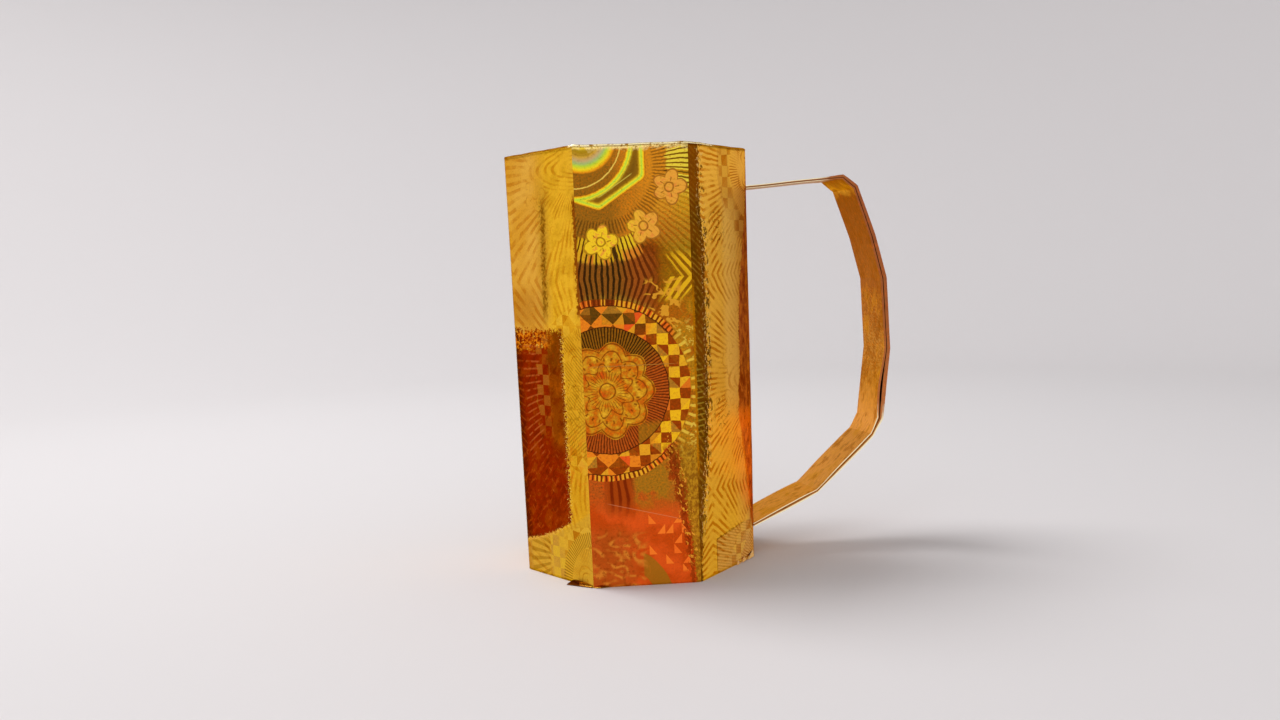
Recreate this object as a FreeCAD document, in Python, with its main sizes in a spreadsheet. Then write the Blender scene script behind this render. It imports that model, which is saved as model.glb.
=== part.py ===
# Tall seven-sided cup with a looped strip handle, folded from one sheet of
# gold foil paper.
#
# The sheet is doubled, so every wall is two plies thick, and creased into
# equal panels. Seven panels stand round the cup. The last panel is folded
# into a narrow strip that leaves the wall just under the rim, bends round in
# straight creased runs, comes back near the base and lies flat up the wall.
# The lower ends of the panels turn in under the cup and lap over each other
# like a pinwheel to close the base. It is one piece of paper, so it is one
# body here.
#
# Axes: the origin is the middle of the base, +Z is up, and +X points out of
# the middle of the wall that carries the handle. Millimetres throughout.

import FreeCAD
import Part

import math
import os

import Sketcher

# ----------------------------------------------------------------------
# Driving dimensions
# ----------------------------------------------------------------------

SIZES = {
    # The walls
    "Walls": 7,  # number of walls round the cup
    "RimPanel": 25.0,  # width of one wall at the rim
    "BasePanel": 24.1,  # width of one wall at the base
    "CupHeight": 96.7,  # height from the base to the rim
    "WallThick": 0.5,  # two plies of the doubled sheet
    "CreaseRadius": 0.35,  # outside radius of the creases between walls
    "RimFold": 0.2,  # edge radius of the folded rim

    # The base, where the panel ends lap over each other
    "BaseThick": 1.2,  # stack of lapped panel ends that closes the base
    "LapStep": 0.3,  # height of the step at each lapped edge
    "LapWidth": 4.0,  # width over which a lapped end sinks under the next
    "LapSkew": 1.5,  # distance of a lapped edge beside the line to its corner
    "LapHub": 5.0,  # distance from the axis at which the lapped edges start
    "LapMargin": 3.2,  # distance that the steps stop short of the wall

    # The small pleats in the inner corners, just below the rim
    "PleatDepth": 0.8,  # how far the top of a pleat stands out of its corner
    "PleatLength": 5.0,  # how far a pleat runs down the corner
    "RimLip": 0.6,  # height of plain rim above the pleats

    # The seam where the sheet's edge meets the handle wall
    "SeamInset": 0.6,  # distance of the seam from the crease
    "SeamWidth": 0.35,  # width of the open seam
    "SeamDepth": 0.25,  # one ply, the depth of the open seam

    # The handle strip, along the middle of its thickness
    "StripWidth": 11.5,  # width of the strip across the handle
    "StripInset": 0.2,  # distance of the strip's open edge from the crease
    "StripThick": 1.2,  # outside of one ply to outside of the other
    "StripGap": 0.4,  # open gap between the two plies
    "StripFold": 0.5,  # closed fold along the strip's back edge
    "LegThick": 0.5,  # strip pressed flat against the wall
    "LegInset": 1.5,  # how far the pressed leg sits back from the open edge

    # Where the strip bends: its distance out from the wall, and its height,
    # given down from the rim for the upper bends and up from the base for the
    # lower ones
    "TopTuckDrop": 8.6,  # strip leaves the wall, below the rim
    "CornerReach": 25.0,  # upper corner, out from the wall
    "CornerDrop": 6.6,  # upper corner, below the rim
    "ShoulderReach": 28.4,  # shoulder, out from the wall
    "ShoulderDrop": 9.1,  # shoulder, below the rim
    "NapeReach": 32.9,  # slight bend below the shoulder, out from the wall
    "NapeDrop": 20.9,  # slight bend below the shoulder, below the rim
    "GripTopReach": 35.8,  # top of the grip, out from the wall
    "GripTopDrop": 31.3,  # top of the grip, below the rim
    "GripReach": 36.5,  # bottom of the grip, out from the wall
    "GripHeight": 48.0,  # bottom of the grip, above the base
    "KneeReach": 34.3,  # knee, out from the wall
    "KneeHeight": 30.8,  # knee, above the base
    "ShinReach": 31.9,  # second crease of the knee, out from the wall
    "ShinHeight": 26.9,  # second crease of the knee, above the base
    "HeelReach": 16.8,  # bend in the lower run, out from the wall
    "HeelHeight": 14.3,  # bend in the lower run, above the base
    "LowTuckHeight": 7.7,  # strip meets the wall again, above the base
}

doc = FreeCAD.newDocument("FoldedCup")
sizes = doc.addObject("Spreadsheet::Sheet", "Sizes")
for row, (alias, amount) in enumerate(SIZES.items(), 1):
    sizes.set(f"A{row}", alias)
    sizes.set(f"B{row}", str(amount))
    sizes.setAlias(f"B{row}", alias)
doc.recompute()


# ----------------------------------------------------------------------
# Expressions shared by the sketches
# ----------------------------------------------------------------------

def number(expression):
    """Work out an expression on the sheet, to draw a sketch close to size."""
    return float(sizes.evalExpression(expression))


def panel_width(height):
    """Expression for the width of one wall at a height above the base."""
    widening = f"(Sizes.RimPanel - Sizes.BasePanel) * ({height}) / Sizes.CupHeight"
    return f"(Sizes.BasePanel + {widening})"


def wall_face(height):
    """Expression for the distance from the axis to a wall's outer face."""
    return f"({panel_width(height)} / (2 * tan(180 deg / Sizes.Walls)))"


def corner(height, inset):
    """Expression for the distance from the axis to a crease, moved in by a
    wall inset measured square to the walls."""
    face = f"({wall_face(height)} - ({inset}))"
    return f"({face} / cos(180 deg / Sizes.Walls))"


RIM = "Sizes.CupHeight"
FLOOR = "Sizes.BaseThick"
OPEN_EDGE = "(Sizes.StripInset - Sizes.BasePanel / 2)"
TO_CORNER = "(180 deg / Sizes.Walls)"


# ----------------------------------------------------------------------
# Sketch helpers
# ----------------------------------------------------------------------

def origin_part(body, role):
    """One of the body's own origin planes or axes, found by its role."""
    for part in body.Origin.OriginFeatures:
        if part.Role == role:
            return part
    raise ValueError(role)


def new_sketch(body, name, plane, offset=None):
    """Start a sketch on one of the body's origin planes, lifted off it by an
    expression if one is given."""
    sketch = body.newObject("Sketcher::SketchObject", name)
    sketch.AttachmentSupport = [(origin_part(body, plane), "")]
    sketch.MapMode = "FlatFace"
    if offset:
        sketch.setExpression("AttachmentOffset.Base.z", offset)
    return sketch


def bind(sketch, constraint, expression):
    """Add a sized constraint and tie it to an expression."""
    index = sketch.addConstraint(constraint)
    sketch.setExpression(f"Constraints[{index}]", expression)


def line(sketch, start, end, construction=False):
    """Draw a straight line between two (x, y) points."""
    segment = Part.LineSegment(FreeCAD.Vector(*start, 0), FreeCAD.Vector(*end, 0))
    return sketch.addGeometry(segment, construction)


def join(sketch, first, second):
    """Make the end of one line the start of another."""
    sketch.addConstraint(Sketcher.Constraint("Coincident", first, 2, second, 1))


def place(sketch, geometry, point, across, up):
    """Fix a point of a line at two coordinates given as expressions."""
    across_value = number(across)
    up_value = number(up)
    bind(sketch, Sketcher.Constraint("DistanceX", -1, 1, geometry, point, across_value), across)
    bind(sketch, Sketcher.Constraint("DistanceY", -1, 1, geometry, point, up_value), up)


def face_corner(sketch, axis):
    """Turn a sketch round the cup from the handle wall's middle to the next
    corner. The cup's axis is given as the sketch sees it."""
    turn = FreeCAD.Rotation(FreeCAD.Vector(*axis), number(TO_CORNER))
    sketch.AttachmentOffset = FreeCAD.Placement(FreeCAD.Vector(), turn)
    sketch.setExpression("AttachmentOffset.Rotation.Angle", TO_CORNER)


def outline(body, name, plane, points, offset=None):
    """Closed outline through points given as pairs of expressions."""
    sketch = new_sketch(body, name, plane, offset)
    spots = [(number(across), number(up)) for across, up in points]
    lines = []
    for start, end in zip(spots, spots[1:] + spots[:1]):
        lines.append(line(sketch, start, end))
    for first, second in zip(lines, lines[1:] + lines[:1]):
        join(sketch, first, second)
    for edge, (across, up) in zip(lines, points):
        place(sketch, edge, 1, across, up)
    return sketch


def many_sided(body, name, height, inset):
    """Regular outline of the walls as they are at the base, moved in by an
    inset and lifted to a height."""
    sketch = new_sketch(body, name, "XY_Plane", height)
    radius = number(corner("0", inset))
    sides = round(number("Sizes.Walls"))
    spots = []
    for side in range(sides):
        angle = (2 * side - 1) * math.pi / sides
        spots.append((radius * math.cos(angle), radius * math.sin(angle)))
    lines = []
    for start, end in zip(spots, spots[1:] + spots[:1]):
        lines.append(line(sketch, start, end))
    ring = sketch.addGeometry(
        Part.Circle(FreeCAD.Vector(0, 0, 0), FreeCAD.Vector(0, 0, 1), radius), True)
    sketch.addConstraint(Sketcher.Constraint("Coincident", ring, 3, -1, 1))
    for first, second in zip(lines, lines[1:] + lines[:1]):
        join(sketch, first, second)
        sketch.addConstraint(Sketcher.Constraint("PointOnObject", first, 1, ring))
    for other in lines[1:]:
        sketch.addConstraint(Sketcher.Constraint("Equal", lines[0], other))
    sketch.addConstraint(Sketcher.Constraint("Vertical", lines[0]))
    bind(sketch, Sketcher.Constraint("Radius", ring, radius), corner("0", inset))
    return sketch


def beside(spots, distance):
    """Points of the line that runs beside a bent line, on its inner side if
    the distance is positive."""
    shifted = []
    for (x1, y1), (x2, y2) in zip(spots, spots[1:]):
        run = math.hypot(x2 - x1, y2 - y1)
        along = ((x2 - x1) / run, (y2 - y1) / run)
        shifted.append((x1 + along[1] * distance, y1 - along[0] * distance, *along))
    points = [shifted[0][:2]]
    for (x1, y1, dx1, dy1), (x2, y2, dx2, dy2) in zip(shifted, shifted[1:]):
        turn = dx1 * dy2 - dy1 * dx2
        step = ((x2 - x1) * dy2 - (y2 - y1) * dx2) / turn
        points.append((x1 + dx1 * step, y1 + dy1 * step))
    last_x, last_y, dx, dy = shifted[-1]
    run = math.hypot(spots[-1][0] - spots[-2][0], spots[-1][1] - spots[-2][1])
    points.append((last_x + dx * run, last_y + dy * run))
    return points


# ----------------------------------------------------------------------
# The handle's route
# ----------------------------------------------------------------------

def handle_route():
    """Bends of the strip from its upper tuck to its lower one, as pairs of
    expressions for the distance from the axis and the height."""
    bends = [
        ("0", "Sizes.CupHeight - Sizes.TopTuckDrop"),
        ("Sizes.CornerReach", "Sizes.CupHeight - Sizes.CornerDrop"),
        ("Sizes.ShoulderReach", "Sizes.CupHeight - Sizes.ShoulderDrop"),
        ("Sizes.NapeReach", "Sizes.CupHeight - Sizes.NapeDrop"),
        ("Sizes.GripTopReach", "Sizes.CupHeight - Sizes.GripTopDrop"),
        ("Sizes.GripReach", "Sizes.GripHeight"),
        ("Sizes.KneeReach", "Sizes.KneeHeight"),
        ("Sizes.ShinReach", "Sizes.ShinHeight"),
        ("Sizes.HeelReach", "Sizes.HeelHeight"),
        ("0", "Sizes.LowTuckHeight"),
    ]
    return [(f"{wall_face(height)} + {reach}", height) for reach, height in bends]


def strip_outline(body, name, thickness, start_reach):
    """Side view of a band that follows the handle's route, half of its
    thickness on each side, between two upright ends a short way out from the
    wall, or inside it if the reach is negative."""
    sketch = new_sketch(body, name, "XZ_Plane", f"-{OPEN_EDGE}")
    route = handle_route()
    spots = [(number(across), number(up)) for across, up in route]
    guides = [line(sketch, start, end, True) for start, end in zip(spots, spots[1:])]
    for first, second in zip(guides, guides[1:]):
        join(sketch, first, second)
    for guide, (across, up) in zip(guides, route):
        place(sketch, guide, 1, across, up)
    place(sketch, guides[-1], 2, *route[-1])

    half = f"({thickness}) / 2"
    sides = []
    for sign in (-1, 1):
        edge_spots = beside(spots, sign * number(half))
        edges = [line(sketch, start, end) for start, end in zip(edge_spots, edge_spots[1:])]
        for first, second in zip(edges, edges[1:]):
            join(sketch, first, second)
        for edge, guide in zip(edges, guides):
            sketch.addConstraint(Sketcher.Constraint("Parallel", edge, guide))
            gap = Sketcher.Constraint("Distance", edge, 1, guide, number(half))
            bind(sketch, gap, half)
        sides.append(edges)

    outer, inner = sides
    for position, point, tuck in ((0, 1, route[0]), (-1, 2, route[-1])):
        end_across = f"{tuck[0]} + ({start_reach})"
        start = sketch.getPoint(outer[position], point)
        end = sketch.getPoint(inner[position], point)
        cap = line(sketch, (start.x, start.y), (end.x, end.y))
        sketch.addConstraint(Sketcher.Constraint("Coincident", cap, 1, outer[position], point))
        sketch.addConstraint(Sketcher.Constraint("Coincident", cap, 2, inner[position], point))
        sketch.addConstraint(Sketcher.Constraint("Vertical", cap))
        level = Sketcher.Constraint("DistanceX", -1, 1, cap, 1, number(end_across))
        bind(sketch, level, end_across)
    return sketch


# ----------------------------------------------------------------------
# Features of the folded cup
# ----------------------------------------------------------------------

def loft(body, name, kind, first, last):
    """Additive or subtractive straight loft between two sketches."""
    feature = body.newObject(f"PartDesign::{kind}Loft", name)
    feature.Profile = first
    feature.Sections = [last]
    feature.Ruled = True
    return feature


def extrude(body, name, kind, profile, length, reverse=False):
    """Pad or Pocket of a sketch, to a length given as an expression."""
    feature = body.newObject(f"PartDesign::{kind}", name)
    feature.Profile = profile
    feature.setExpression("Length", length)
    feature.Reversed = reverse
    return feature


def around(body, name, feature):
    """Repeat a feature once for each wall."""
    pattern = body.newObject("PartDesign::PolarPattern", name)
    pattern.Originals = [feature]
    pattern.Axis = (origin_part(body, "Z_Axis"), [""])
    pattern.Angle = 360
    pattern.setExpression("Occurrences", "Sizes.Walls")
    body.Tip = pattern
    return pattern


def lean(body, name, feature, outward):
    """Lean a feature's upright faces out to the taper of the walls: the ones
    that look away from the axis, or the ones that look towards it."""
    doc.recompute()
    faces = []
    for index, face in enumerate(feature.Shape.Faces, 1):
        normal = face.normalAt(0, 0)
        looks_out = normal.dot(face.CenterOfMass) > 0
        if abs(normal.z) < 0.5 and looks_out == outward:
            faces.append(f"Face{index}")
    draft = body.newObject("PartDesign::Draft", name)
    draft.Base = (feature, faces)
    draft.NeutralPlane = (origin_part(body, "XY_Plane"), [""])
    draft.setExpression("Angle", f"atan(({wall_face(RIM)} - {wall_face('0')}) / {RIM})")
    draft.Reversed = outward
    return draft


def round_edges(body, name, feature, wanted, radius):
    """Fillet the edges of a feature that a test picks out."""
    doc.recompute()
    edges = []
    for index, edge in enumerate(feature.Shape.Edges, 1):
        if wanted(edge):
            edges.append(f"Edge{index}")
    fillet = body.newObject("PartDesign::Fillet", name)
    fillet.Base = (feature, edges)
    fillet.setExpression("Radius", radius)
    return fillet


def on_rim(edge):
    """Whether an edge lies wholly in the plane of the rim."""
    height = number(RIM)
    return all(abs(vertex.Point.z - height) < 0.001 for vertex in edge.Vertexes)


def build_walls(body):
    """Tapered tube of flat walls with a closed bottom and an open top."""
    foot = many_sided(body, "BaseOutline", "0", "0")
    block = extrude(body, "Block", "Pad", foot, RIM)
    walls = lean(body, "WallsOutside", block, True)
    creased = round_edges(
        body, "Creases", walls, lambda edge: not on_rim(edge), "Sizes.CreaseRadius")
    doc.recompute()
    floor = many_sided(body, "FloorOutline", FLOOR, "Sizes.WallThick")
    hollow = extrude(body, "Hollow", "Pocket", floor, f"{RIM} - {FLOOR}", True)
    inside = lean(body, "WallsInside", hollow, False)
    round_edges(body, "RimFolds", inside, on_rim, "Sizes.RimFold")


def build_pleats(body):
    """Small three-cornered pleat in each inner corner, widest at its top and
    running down to nothing."""
    half_wall = "Sizes.WallThick / 2"

    def pleat(name, height, depth):
        tip = corner(height, half_wall)
        chord = f"({corner(height, 'Sizes.WallThick')} - ({depth}))"
        spread = f"(({tip} - {chord}) / tan{TO_CORNER})"
        points = [(tip, "0"), (chord, spread), (chord, f"-{spread}")]
        sketch = outline(body, name, "XY_Plane", points)
        face_corner(sketch, (0, 0, 1))
        sketch.setExpression("AttachmentOffset.Base.z", height)
        return sketch

    head = f"{RIM} - Sizes.RimLip"
    top = pleat("PleatTop", head, "Sizes.PleatDepth")
    bottom = pleat("PleatFoot", f"{head} - Sizes.PleatLength", f"-{half_wall} / 2")
    wedge = loft(body, "Pleat", "Additive", top, bottom)
    return around(body, "Pleats", wedge)


def build_laps(body, name, level, into):
    """Steps of the lapped panel ends on one face of the base. Each is a long
    shallow wedge that points at a corner, and its upright side is the free
    edge of a lapped end."""
    depth = f"{level} {into} Sizes.LapStep"
    sunk = "Sizes.LapSkew + Sizes.LapWidth"
    points = [("Sizes.LapSkew", level), ("Sizes.LapSkew", depth), (sunk, level)]
    profile = outline(body, f"{name}Profile", "YZ_Plane", points)
    face_corner(profile, (0, 1, 0))
    profile.setExpression("AttachmentOffset.Base.x", f"Sizes.LapHub * sin{TO_CORNER}")
    profile.setExpression("AttachmentOffset.Base.z", f"Sizes.LapHub * cos{TO_CORNER}")
    reach = corner(level, "Sizes.WallThick")
    length = f"{reach} - Sizes.LapHub - Sizes.LapMargin"
    wedge = extrude(body, name, "Pocket", profile, length, True)
    return around(body, f"{name}s", wedge)


def build_seam(body):
    """Open seam down the handle wall, where the sheet's edge ends."""

    def slot(name, height):
        face = wall_face(height)
        crease = f"(Sizes.SeamInset - {panel_width(height)} / 2)"
        inner = f"({face} - Sizes.SeamDepth)"
        outer = f"({face} + Sizes.WallThick)"
        far = f"({crease} + Sizes.SeamWidth)"
        points = [(inner, crease), (outer, crease), (outer, far), (inner, far)]
        return outline(body, name, "XY_Plane", points, height)

    return loft(body, "Seam", "Subtractive", slot("SeamFoot", "0"), slot("SeamTop", RIM))


def build_leg(body):
    """Return leg of the strip, pressed flat on the wall between the tucks."""

    def section(name, height):
        inner = f"({wall_face(height)} - Sizes.WallThick / 2)"
        outer = f"({wall_face(height)} + Sizes.LegThick)"
        near = f"({OPEN_EDGE} + Sizes.LegInset)"
        far = f"({OPEN_EDGE} + Sizes.StripWidth)"
        points = [(inner, near), (outer, near), (outer, far), (inner, far)]
        return outline(body, name, "XY_Plane", points, height)

    foot = section("LegFoot", "Sizes.LowTuckHeight")
    top = section("LegTop", "(Sizes.CupHeight - Sizes.TopTuckDrop)")
    return loft(body, "Leg", "Additive", foot, top)


def build_strip(body):
    """Looped run of the strip, two plies folded together along the back edge
    and open along the front edge."""
    band = strip_outline(body, "StripSide", "Sizes.StripThick", "-Sizes.WallThick / 2")
    extrude(body, "Strip", "Pad", band, "Sizes.StripWidth", True)
    gap = strip_outline(body, "GapSide", "Sizes.StripGap", "2 * Sizes.LegThick")
    opening = "Sizes.StripWidth - Sizes.StripFold"
    return extrude(body, "StripOpening", "Pocket", gap, opening)


def build_cup():
    """The whole folded sheet."""
    body = doc.addObject("PartDesign::Body", "Cup")
    body.Label = "cup"
    build_walls(body)
    build_pleats(body)
    build_laps(body, "UnderLap", "0", "+")
    build_laps(body, "FloorLap", FLOOR, "-")
    build_seam(body)
    build_leg(body)
    finish = build_strip(body)
    body.Tip = finish
    doc.recompute()
    return body


def check(body):
    """Stop if any feature failed or the cup isn't one sound solid."""
    for item in doc.Objects:
        if "Invalid" in item.State or "Error" in item.State:
            raise RuntimeError(f"{item.Name} did not build: {item.State}")
    shape = body.Shape
    if shape.isNull() or not shape.isValid() or len(shape.Solids) != 1:
        raise RuntimeError("the cup is not one valid solid")


cup = build_cup()
check(cup)
os.makedirs("parts", exist_ok=True)
cup.Shape.exportStep(f"parts/{cup.Label}.step")
print(f"{cup.Label}: {cup.Shape.Volume:.0f} cubic millimetres, {cup.Shape.BoundBox}")
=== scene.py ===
"""Tall seven-sided cup with a looped strip handle, folded from gold foil paper.

Geometry Nodes wrap the flat sheet round the cup, sweep the rim fold along its
top, and repeat the base laps and the corner pleats. The handle is two plies that
follow the strip's bends and open along the front edge. Each foil finish is a
pattern on the unrolled sheet, in millimetres.
"""

import math

import bmesh
import bpy
from bpy.props import FloatProperty, FloatVectorProperty, IntProperty, PointerProperty
from mathutils import Matrix, Vector, noise


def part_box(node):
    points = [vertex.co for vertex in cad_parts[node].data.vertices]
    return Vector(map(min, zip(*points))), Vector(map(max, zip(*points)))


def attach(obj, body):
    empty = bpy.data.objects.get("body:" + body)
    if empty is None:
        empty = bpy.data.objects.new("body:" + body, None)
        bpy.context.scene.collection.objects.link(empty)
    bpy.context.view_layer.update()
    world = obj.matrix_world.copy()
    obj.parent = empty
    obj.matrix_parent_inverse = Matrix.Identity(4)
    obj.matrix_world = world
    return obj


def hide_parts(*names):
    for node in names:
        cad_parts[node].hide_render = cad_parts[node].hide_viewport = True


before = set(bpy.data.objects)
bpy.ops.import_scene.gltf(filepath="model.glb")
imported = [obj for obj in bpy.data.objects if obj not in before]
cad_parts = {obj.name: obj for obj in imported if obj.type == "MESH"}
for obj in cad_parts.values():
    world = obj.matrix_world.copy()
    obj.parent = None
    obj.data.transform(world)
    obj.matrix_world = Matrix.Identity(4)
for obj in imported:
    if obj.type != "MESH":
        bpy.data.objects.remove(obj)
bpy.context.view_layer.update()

bl_info = {
    "name": "Folded foil cup",
    "version": (1, 0, 0),
    "blender": (4, 5, 0),
    "location": "View3D > Sidebar > Foil cup",
    "description": "Folds a seven-sided cup with a strip handle from gold foil paper",
    "category": "Object",
}

MM = 0.001
CUP_LOW, CUP_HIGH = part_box("cup")
UV_PER_MM = 0.01  # the unrolled sheet's map counts 100 mm as 1
EMBOSSING = 0.06 * MM  # depth of the foil's embossing


def linear(text):
    """Scene-linear colour of a hexadecimal display colour."""
    shares = [int(text[i:i + 2], 16) / 255 for i in (1, 3, 5)]
    return tuple(s / 12.92 if s <= 0.04045 else ((s + 0.055) / 1.055) ** 2.4 for s in shares)


def colour_setting(name, text, description):
    """Colour property with its default given as a display colour."""
    return FloatVectorProperty(
        name=name, description=description, subtype="COLOR", min=0, max=1, default=linear(text)
    )


def length_setting(name, default, description):
    """Length property, in metres."""
    return FloatProperty(
        name=name, description=description, unit="LENGTH", precision=5, default=default
    )


# ----------------------------------------------------------------------
# Settings
# ----------------------------------------------------------------------


class CupSizes(bpy.types.PropertyGroup):
    """Sizes of the folded cup."""

    walls: IntProperty(name="Walls", description="Number of walls round the cup", default=7)
    height: length_setting("Height", CUP_HIGH.z, "Base to rim")
    rim_radius: length_setting("Rim radius", -CUP_LOW.x, "Axis to a corner of the rim")
    base_taper: FloatProperty(
        name="Base taper",
        description="Width of a wall at the base as a share of its width at the rim",
        subtype="FACTOR",
        default=0.964,
    )
    wall: length_setting("Wall", 0.5 * MM, "Thickness of the doubled sheet")
    crease: length_setting("Crease", 0.12 * MM, "How far a crease is rounded off")
    bow: length_setting("Bow", 0.16 * MM, "How far the walls bow between creases")
    strip_width: length_setting("Strip width", 11.5 * MM, "Width of the handle strip")
    strip_inset: length_setting("Strip inset", 0.2 * MM, "Strip's open edge to the crease")
    strip_thick: length_setting("Strip thickness", 1.2 * MM, "Outside of the strip's two plies")
    gape: length_setting("Gape", 1.0 * MM, "Widest opening between the plies, by the grip")


class FoilColours(bpy.types.PropertyGroup):
    """Colours of the foil on the back walls, the rim fold and the base: yellow is painted light, amber
    painted shade, and brown and the two reds painted reflections.
    """

    gold: colour_setting("Gold", "#c98c25", "Plain embossed foil")
    yellow: colour_setting("Yellow", "#d2a01c", "Foil that faces the light")
    amber: colour_setting("Amber", "#b07018", "Foil turned a little away")
    brown: colour_setting("Brown", "#6a4210", "Foil that mirrors the dark")
    # Colour of the painted red reflections
    rust_reflection: colour_setting("Rust", "#8a3606", "Rust-coloured foil")
    red: colour_setting("Red", "#7c1f02", "Deepest red of the foil")


class StageLook(bpy.types.PropertyGroup):
    """Floor, backdrop and light."""

    floor: colour_setting("Floor", "#dedadb", "Floor and backdrop")
    key_power: FloatProperty(
        name="Key", description="Power of the key lamp", unit="POWER", default=4.9
    )
    fill_power: FloatProperty(
        name="Fill", description="Power of the lamp on the camera's side", unit="POWER", default=1.5
    )
    gloss: FloatProperty(
        name="Even gloss", description="How evenly the backdrop shows in the foil", default=0.7
    )
    sky: FloatProperty(name="Sky", description="Strength of the even light", default=0.42)


# ----------------------------------------------------------------------
# Node trees written as sums
# ----------------------------------------------------------------------


class Value:
    """A socket that can stand in sums. Each operator adds one Math node."""

    def __init__(self, net, socket):
        self.net = net
        self.socket = socket

    def sibling(self, name):
        """Another output of the same node."""
        return Value(self.net, self.socket.node.outputs[name])

    def math(self, operation, *others):
        return self.net.node("ShaderNodeMath", {"operation": operation}, [self, *others])

    def __add__(self, other):
        return self.math("ADD", other)

    def __sub__(self, other):
        return self.math("SUBTRACT", other)

    def __rsub__(self, other):
        return self.net.node("ShaderNodeMath", {"operation": "SUBTRACT"}, [other, self])

    def __mul__(self, other):
        return self.math("MULTIPLY", other)

    def __truediv__(self, other):
        return self.math("DIVIDE", other)

    def __rtruediv__(self, other):
        return self.net.node("ShaderNodeMath", {"operation": "DIVIDE"}, [other, self])

    def __pow__(self, other):
        return self.math("POWER", other)

    def __abs__(self):
        return self.math("ABSOLUTE")

    def __lt__(self, other):
        return self.math("LESS_THAN", other)

    def __gt__(self, other):
        return self.math("GREATER_THAN", other)

    __radd__ = __add__
    __rmul__ = __mul__


def most(first, *others):
    """Greatest of some values."""
    for other in others:
        first = first.math("MAXIMUM", other)
    return first


def reach(x, y):
    """Distance of a place from the origin."""
    return (x * x + y * y).math("SQRT")


def set_stops(ramp, stops):
    """Gives a colour ramp its stops, as pairs of a place and a display colour."""
    while len(ramp.elements) < len(stops):
        ramp.elements.new(1)
    for element, (place, colour) in zip(ramp.elements, stops):
        element.position = place
        element.color = (*linear(colour), 1)


class Net:
    """Adds nodes to a shader or geometry tree and links them."""

    def __init__(self, tree):
        self.tree = tree

    def feed(self, socket, value):
        """Links a value to a socket or sets it. A colour may be a display colour's text."""
        if isinstance(value, Value):
            self.tree.links.new(value.socket, socket)
        elif socket.type == "RGBA":
            shares = linear(value) if isinstance(value, str) else value
            socket.default_value = (*shares, 1)
        else:
            socket.default_value = value

    def node(self, kind, settings=None, inputs=(), output=0):
        """A node of a kind, with its settings made before its sockets are fed."""
        made = self.tree.nodes.new(kind)
        for name, setting in (settings or {}).items():
            if name == "stops":
                set_stops(made.color_ramp, setting)
            else:
                setattr(made, name, setting)
        pairs = inputs.items() if isinstance(inputs, dict) else enumerate(inputs)
        for key, value in pairs:
            self.feed(made.inputs[key], value)
        return Value(self, made.outputs[output])

    def mix(self, share, first, second):
        """Colour between two colours."""
        return self.node("ShaderNodeMix", {"data_type": "RGBA"}, {0: share, 6: first, 7: second}, 2)

    def tint(self, share, first, second, way="MULTIPLY"):
        """One colour blended on another in a given way."""
        settings = {"data_type": "RGBA", "blend_type": way}
        return self.node("ShaderNodeMix", settings, {0: share, 6: first, 7: second}, 2)

    def ramp(self, value, *stops):
        """Colour that goes through its stops as a value goes from 0 to 1."""
        return self.node("ShaderNodeValToRGB", {"stops": stops}, {"Fac": value})

    def rise(self, value, start, end):
        """0 below start, 1 above end and smooth between; it falls if end is lower."""
        settings = {"interpolation_type": "SMOOTHSTEP"}
        if start < end:
            return self.node("ShaderNodeMapRange", settings, [value, start, end, 0, 1])
        return self.node("ShaderNodeMapRange", settings, [value, end, start, 1, 0])

    def line(self, value, end, full):
        """1 where a value is less than full from 0 on either side, and 0 beyond end."""
        return self.rise(abs(value), end, full)

    def within(self, value, low, high, soft):
        """1 between low and high, with soft edges."""
        half = (high - low) / 2
        return self.line(value - (low + high) / 2, half + soft, half - soft)

    def least(self, first, second, soft):
        """Smaller of two values, with the change between them rounded off."""
        return self.node("ShaderNodeMath", {"operation": "SMOOTH_MIN"}, [first, second, soft])

    def stripes(self, phase, share, soft=0.12):
        """1 on stripes that take up a share of each whole step of phase."""
        wave = self.node("ShaderNodeMath", {"operation": "PINGPONG"}, [phase, 0.5]) * 2
        return self.rise(wave, share + soft, share - soft)

    def vector(self, x, y, z=0):
        """Vector of three values."""
        return self.node("ShaderNodeCombineXYZ", None, [x, y, z])

    def noise(self, place, scale, detail=2, rough=0.5):
        """Smooth noise of about 0.5, with so many octaves."""
        inputs = {"Vector": place, "Scale": scale, "Detail": detail, "Roughness": rough}
        return self.node("ShaderNodeTexNoise", None, inputs)

    def chance(self, *numbers):
        """Random number from 0 to 1 that belongs to these whole numbers."""
        place = self.vector(*numbers)
        return self.node("ShaderNodeTexWhiteNoise", {"noise_dimensions": "3D"}, [place])

    def away(self, place, centre):
        """Distance of a place from a fixed centre."""
        return self.node("ShaderNodeVectorMath", {"operation": "DISTANCE"}, [place, centre], 1)


def new_material(name):
    """Material with an empty tree and a Principled shader on its output."""
    material = bpy.data.materials.new(name)
    material.use_nodes = True
    tree = material.node_tree
    tree.nodes.clear()
    shader = tree.nodes.new("ShaderNodeBsdfPrincipled")
    output = tree.nodes.new("ShaderNodeOutputMaterial")
    tree.links.new(shader.outputs[0], output.inputs["Surface"])
    return material, Net(tree), shader


def finish_foil(net, shader, colour, relief, rough):
    """Feeds the shader of a foil: its colour, its relief and its roughness."""
    inputs = {"Strength": 0.9, "Distance": EMBOSSING, "Height": relief}
    looks = {
        "Base Color": colour,
        "Roughness": rough,
        "Metallic": 1.0,
        "Specular Tint": "#f0c890",
        "Normal": net.node("ShaderNodeBump", None, inputs),
    }
    for name, value in looks.items():
        net.feed(shader.inputs[name], value)


# ----------------------------------------------------------------------
# Foil pattern: medallions on a lattice, with rays that meet half way
# ----------------------------------------------------------------------

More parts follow.
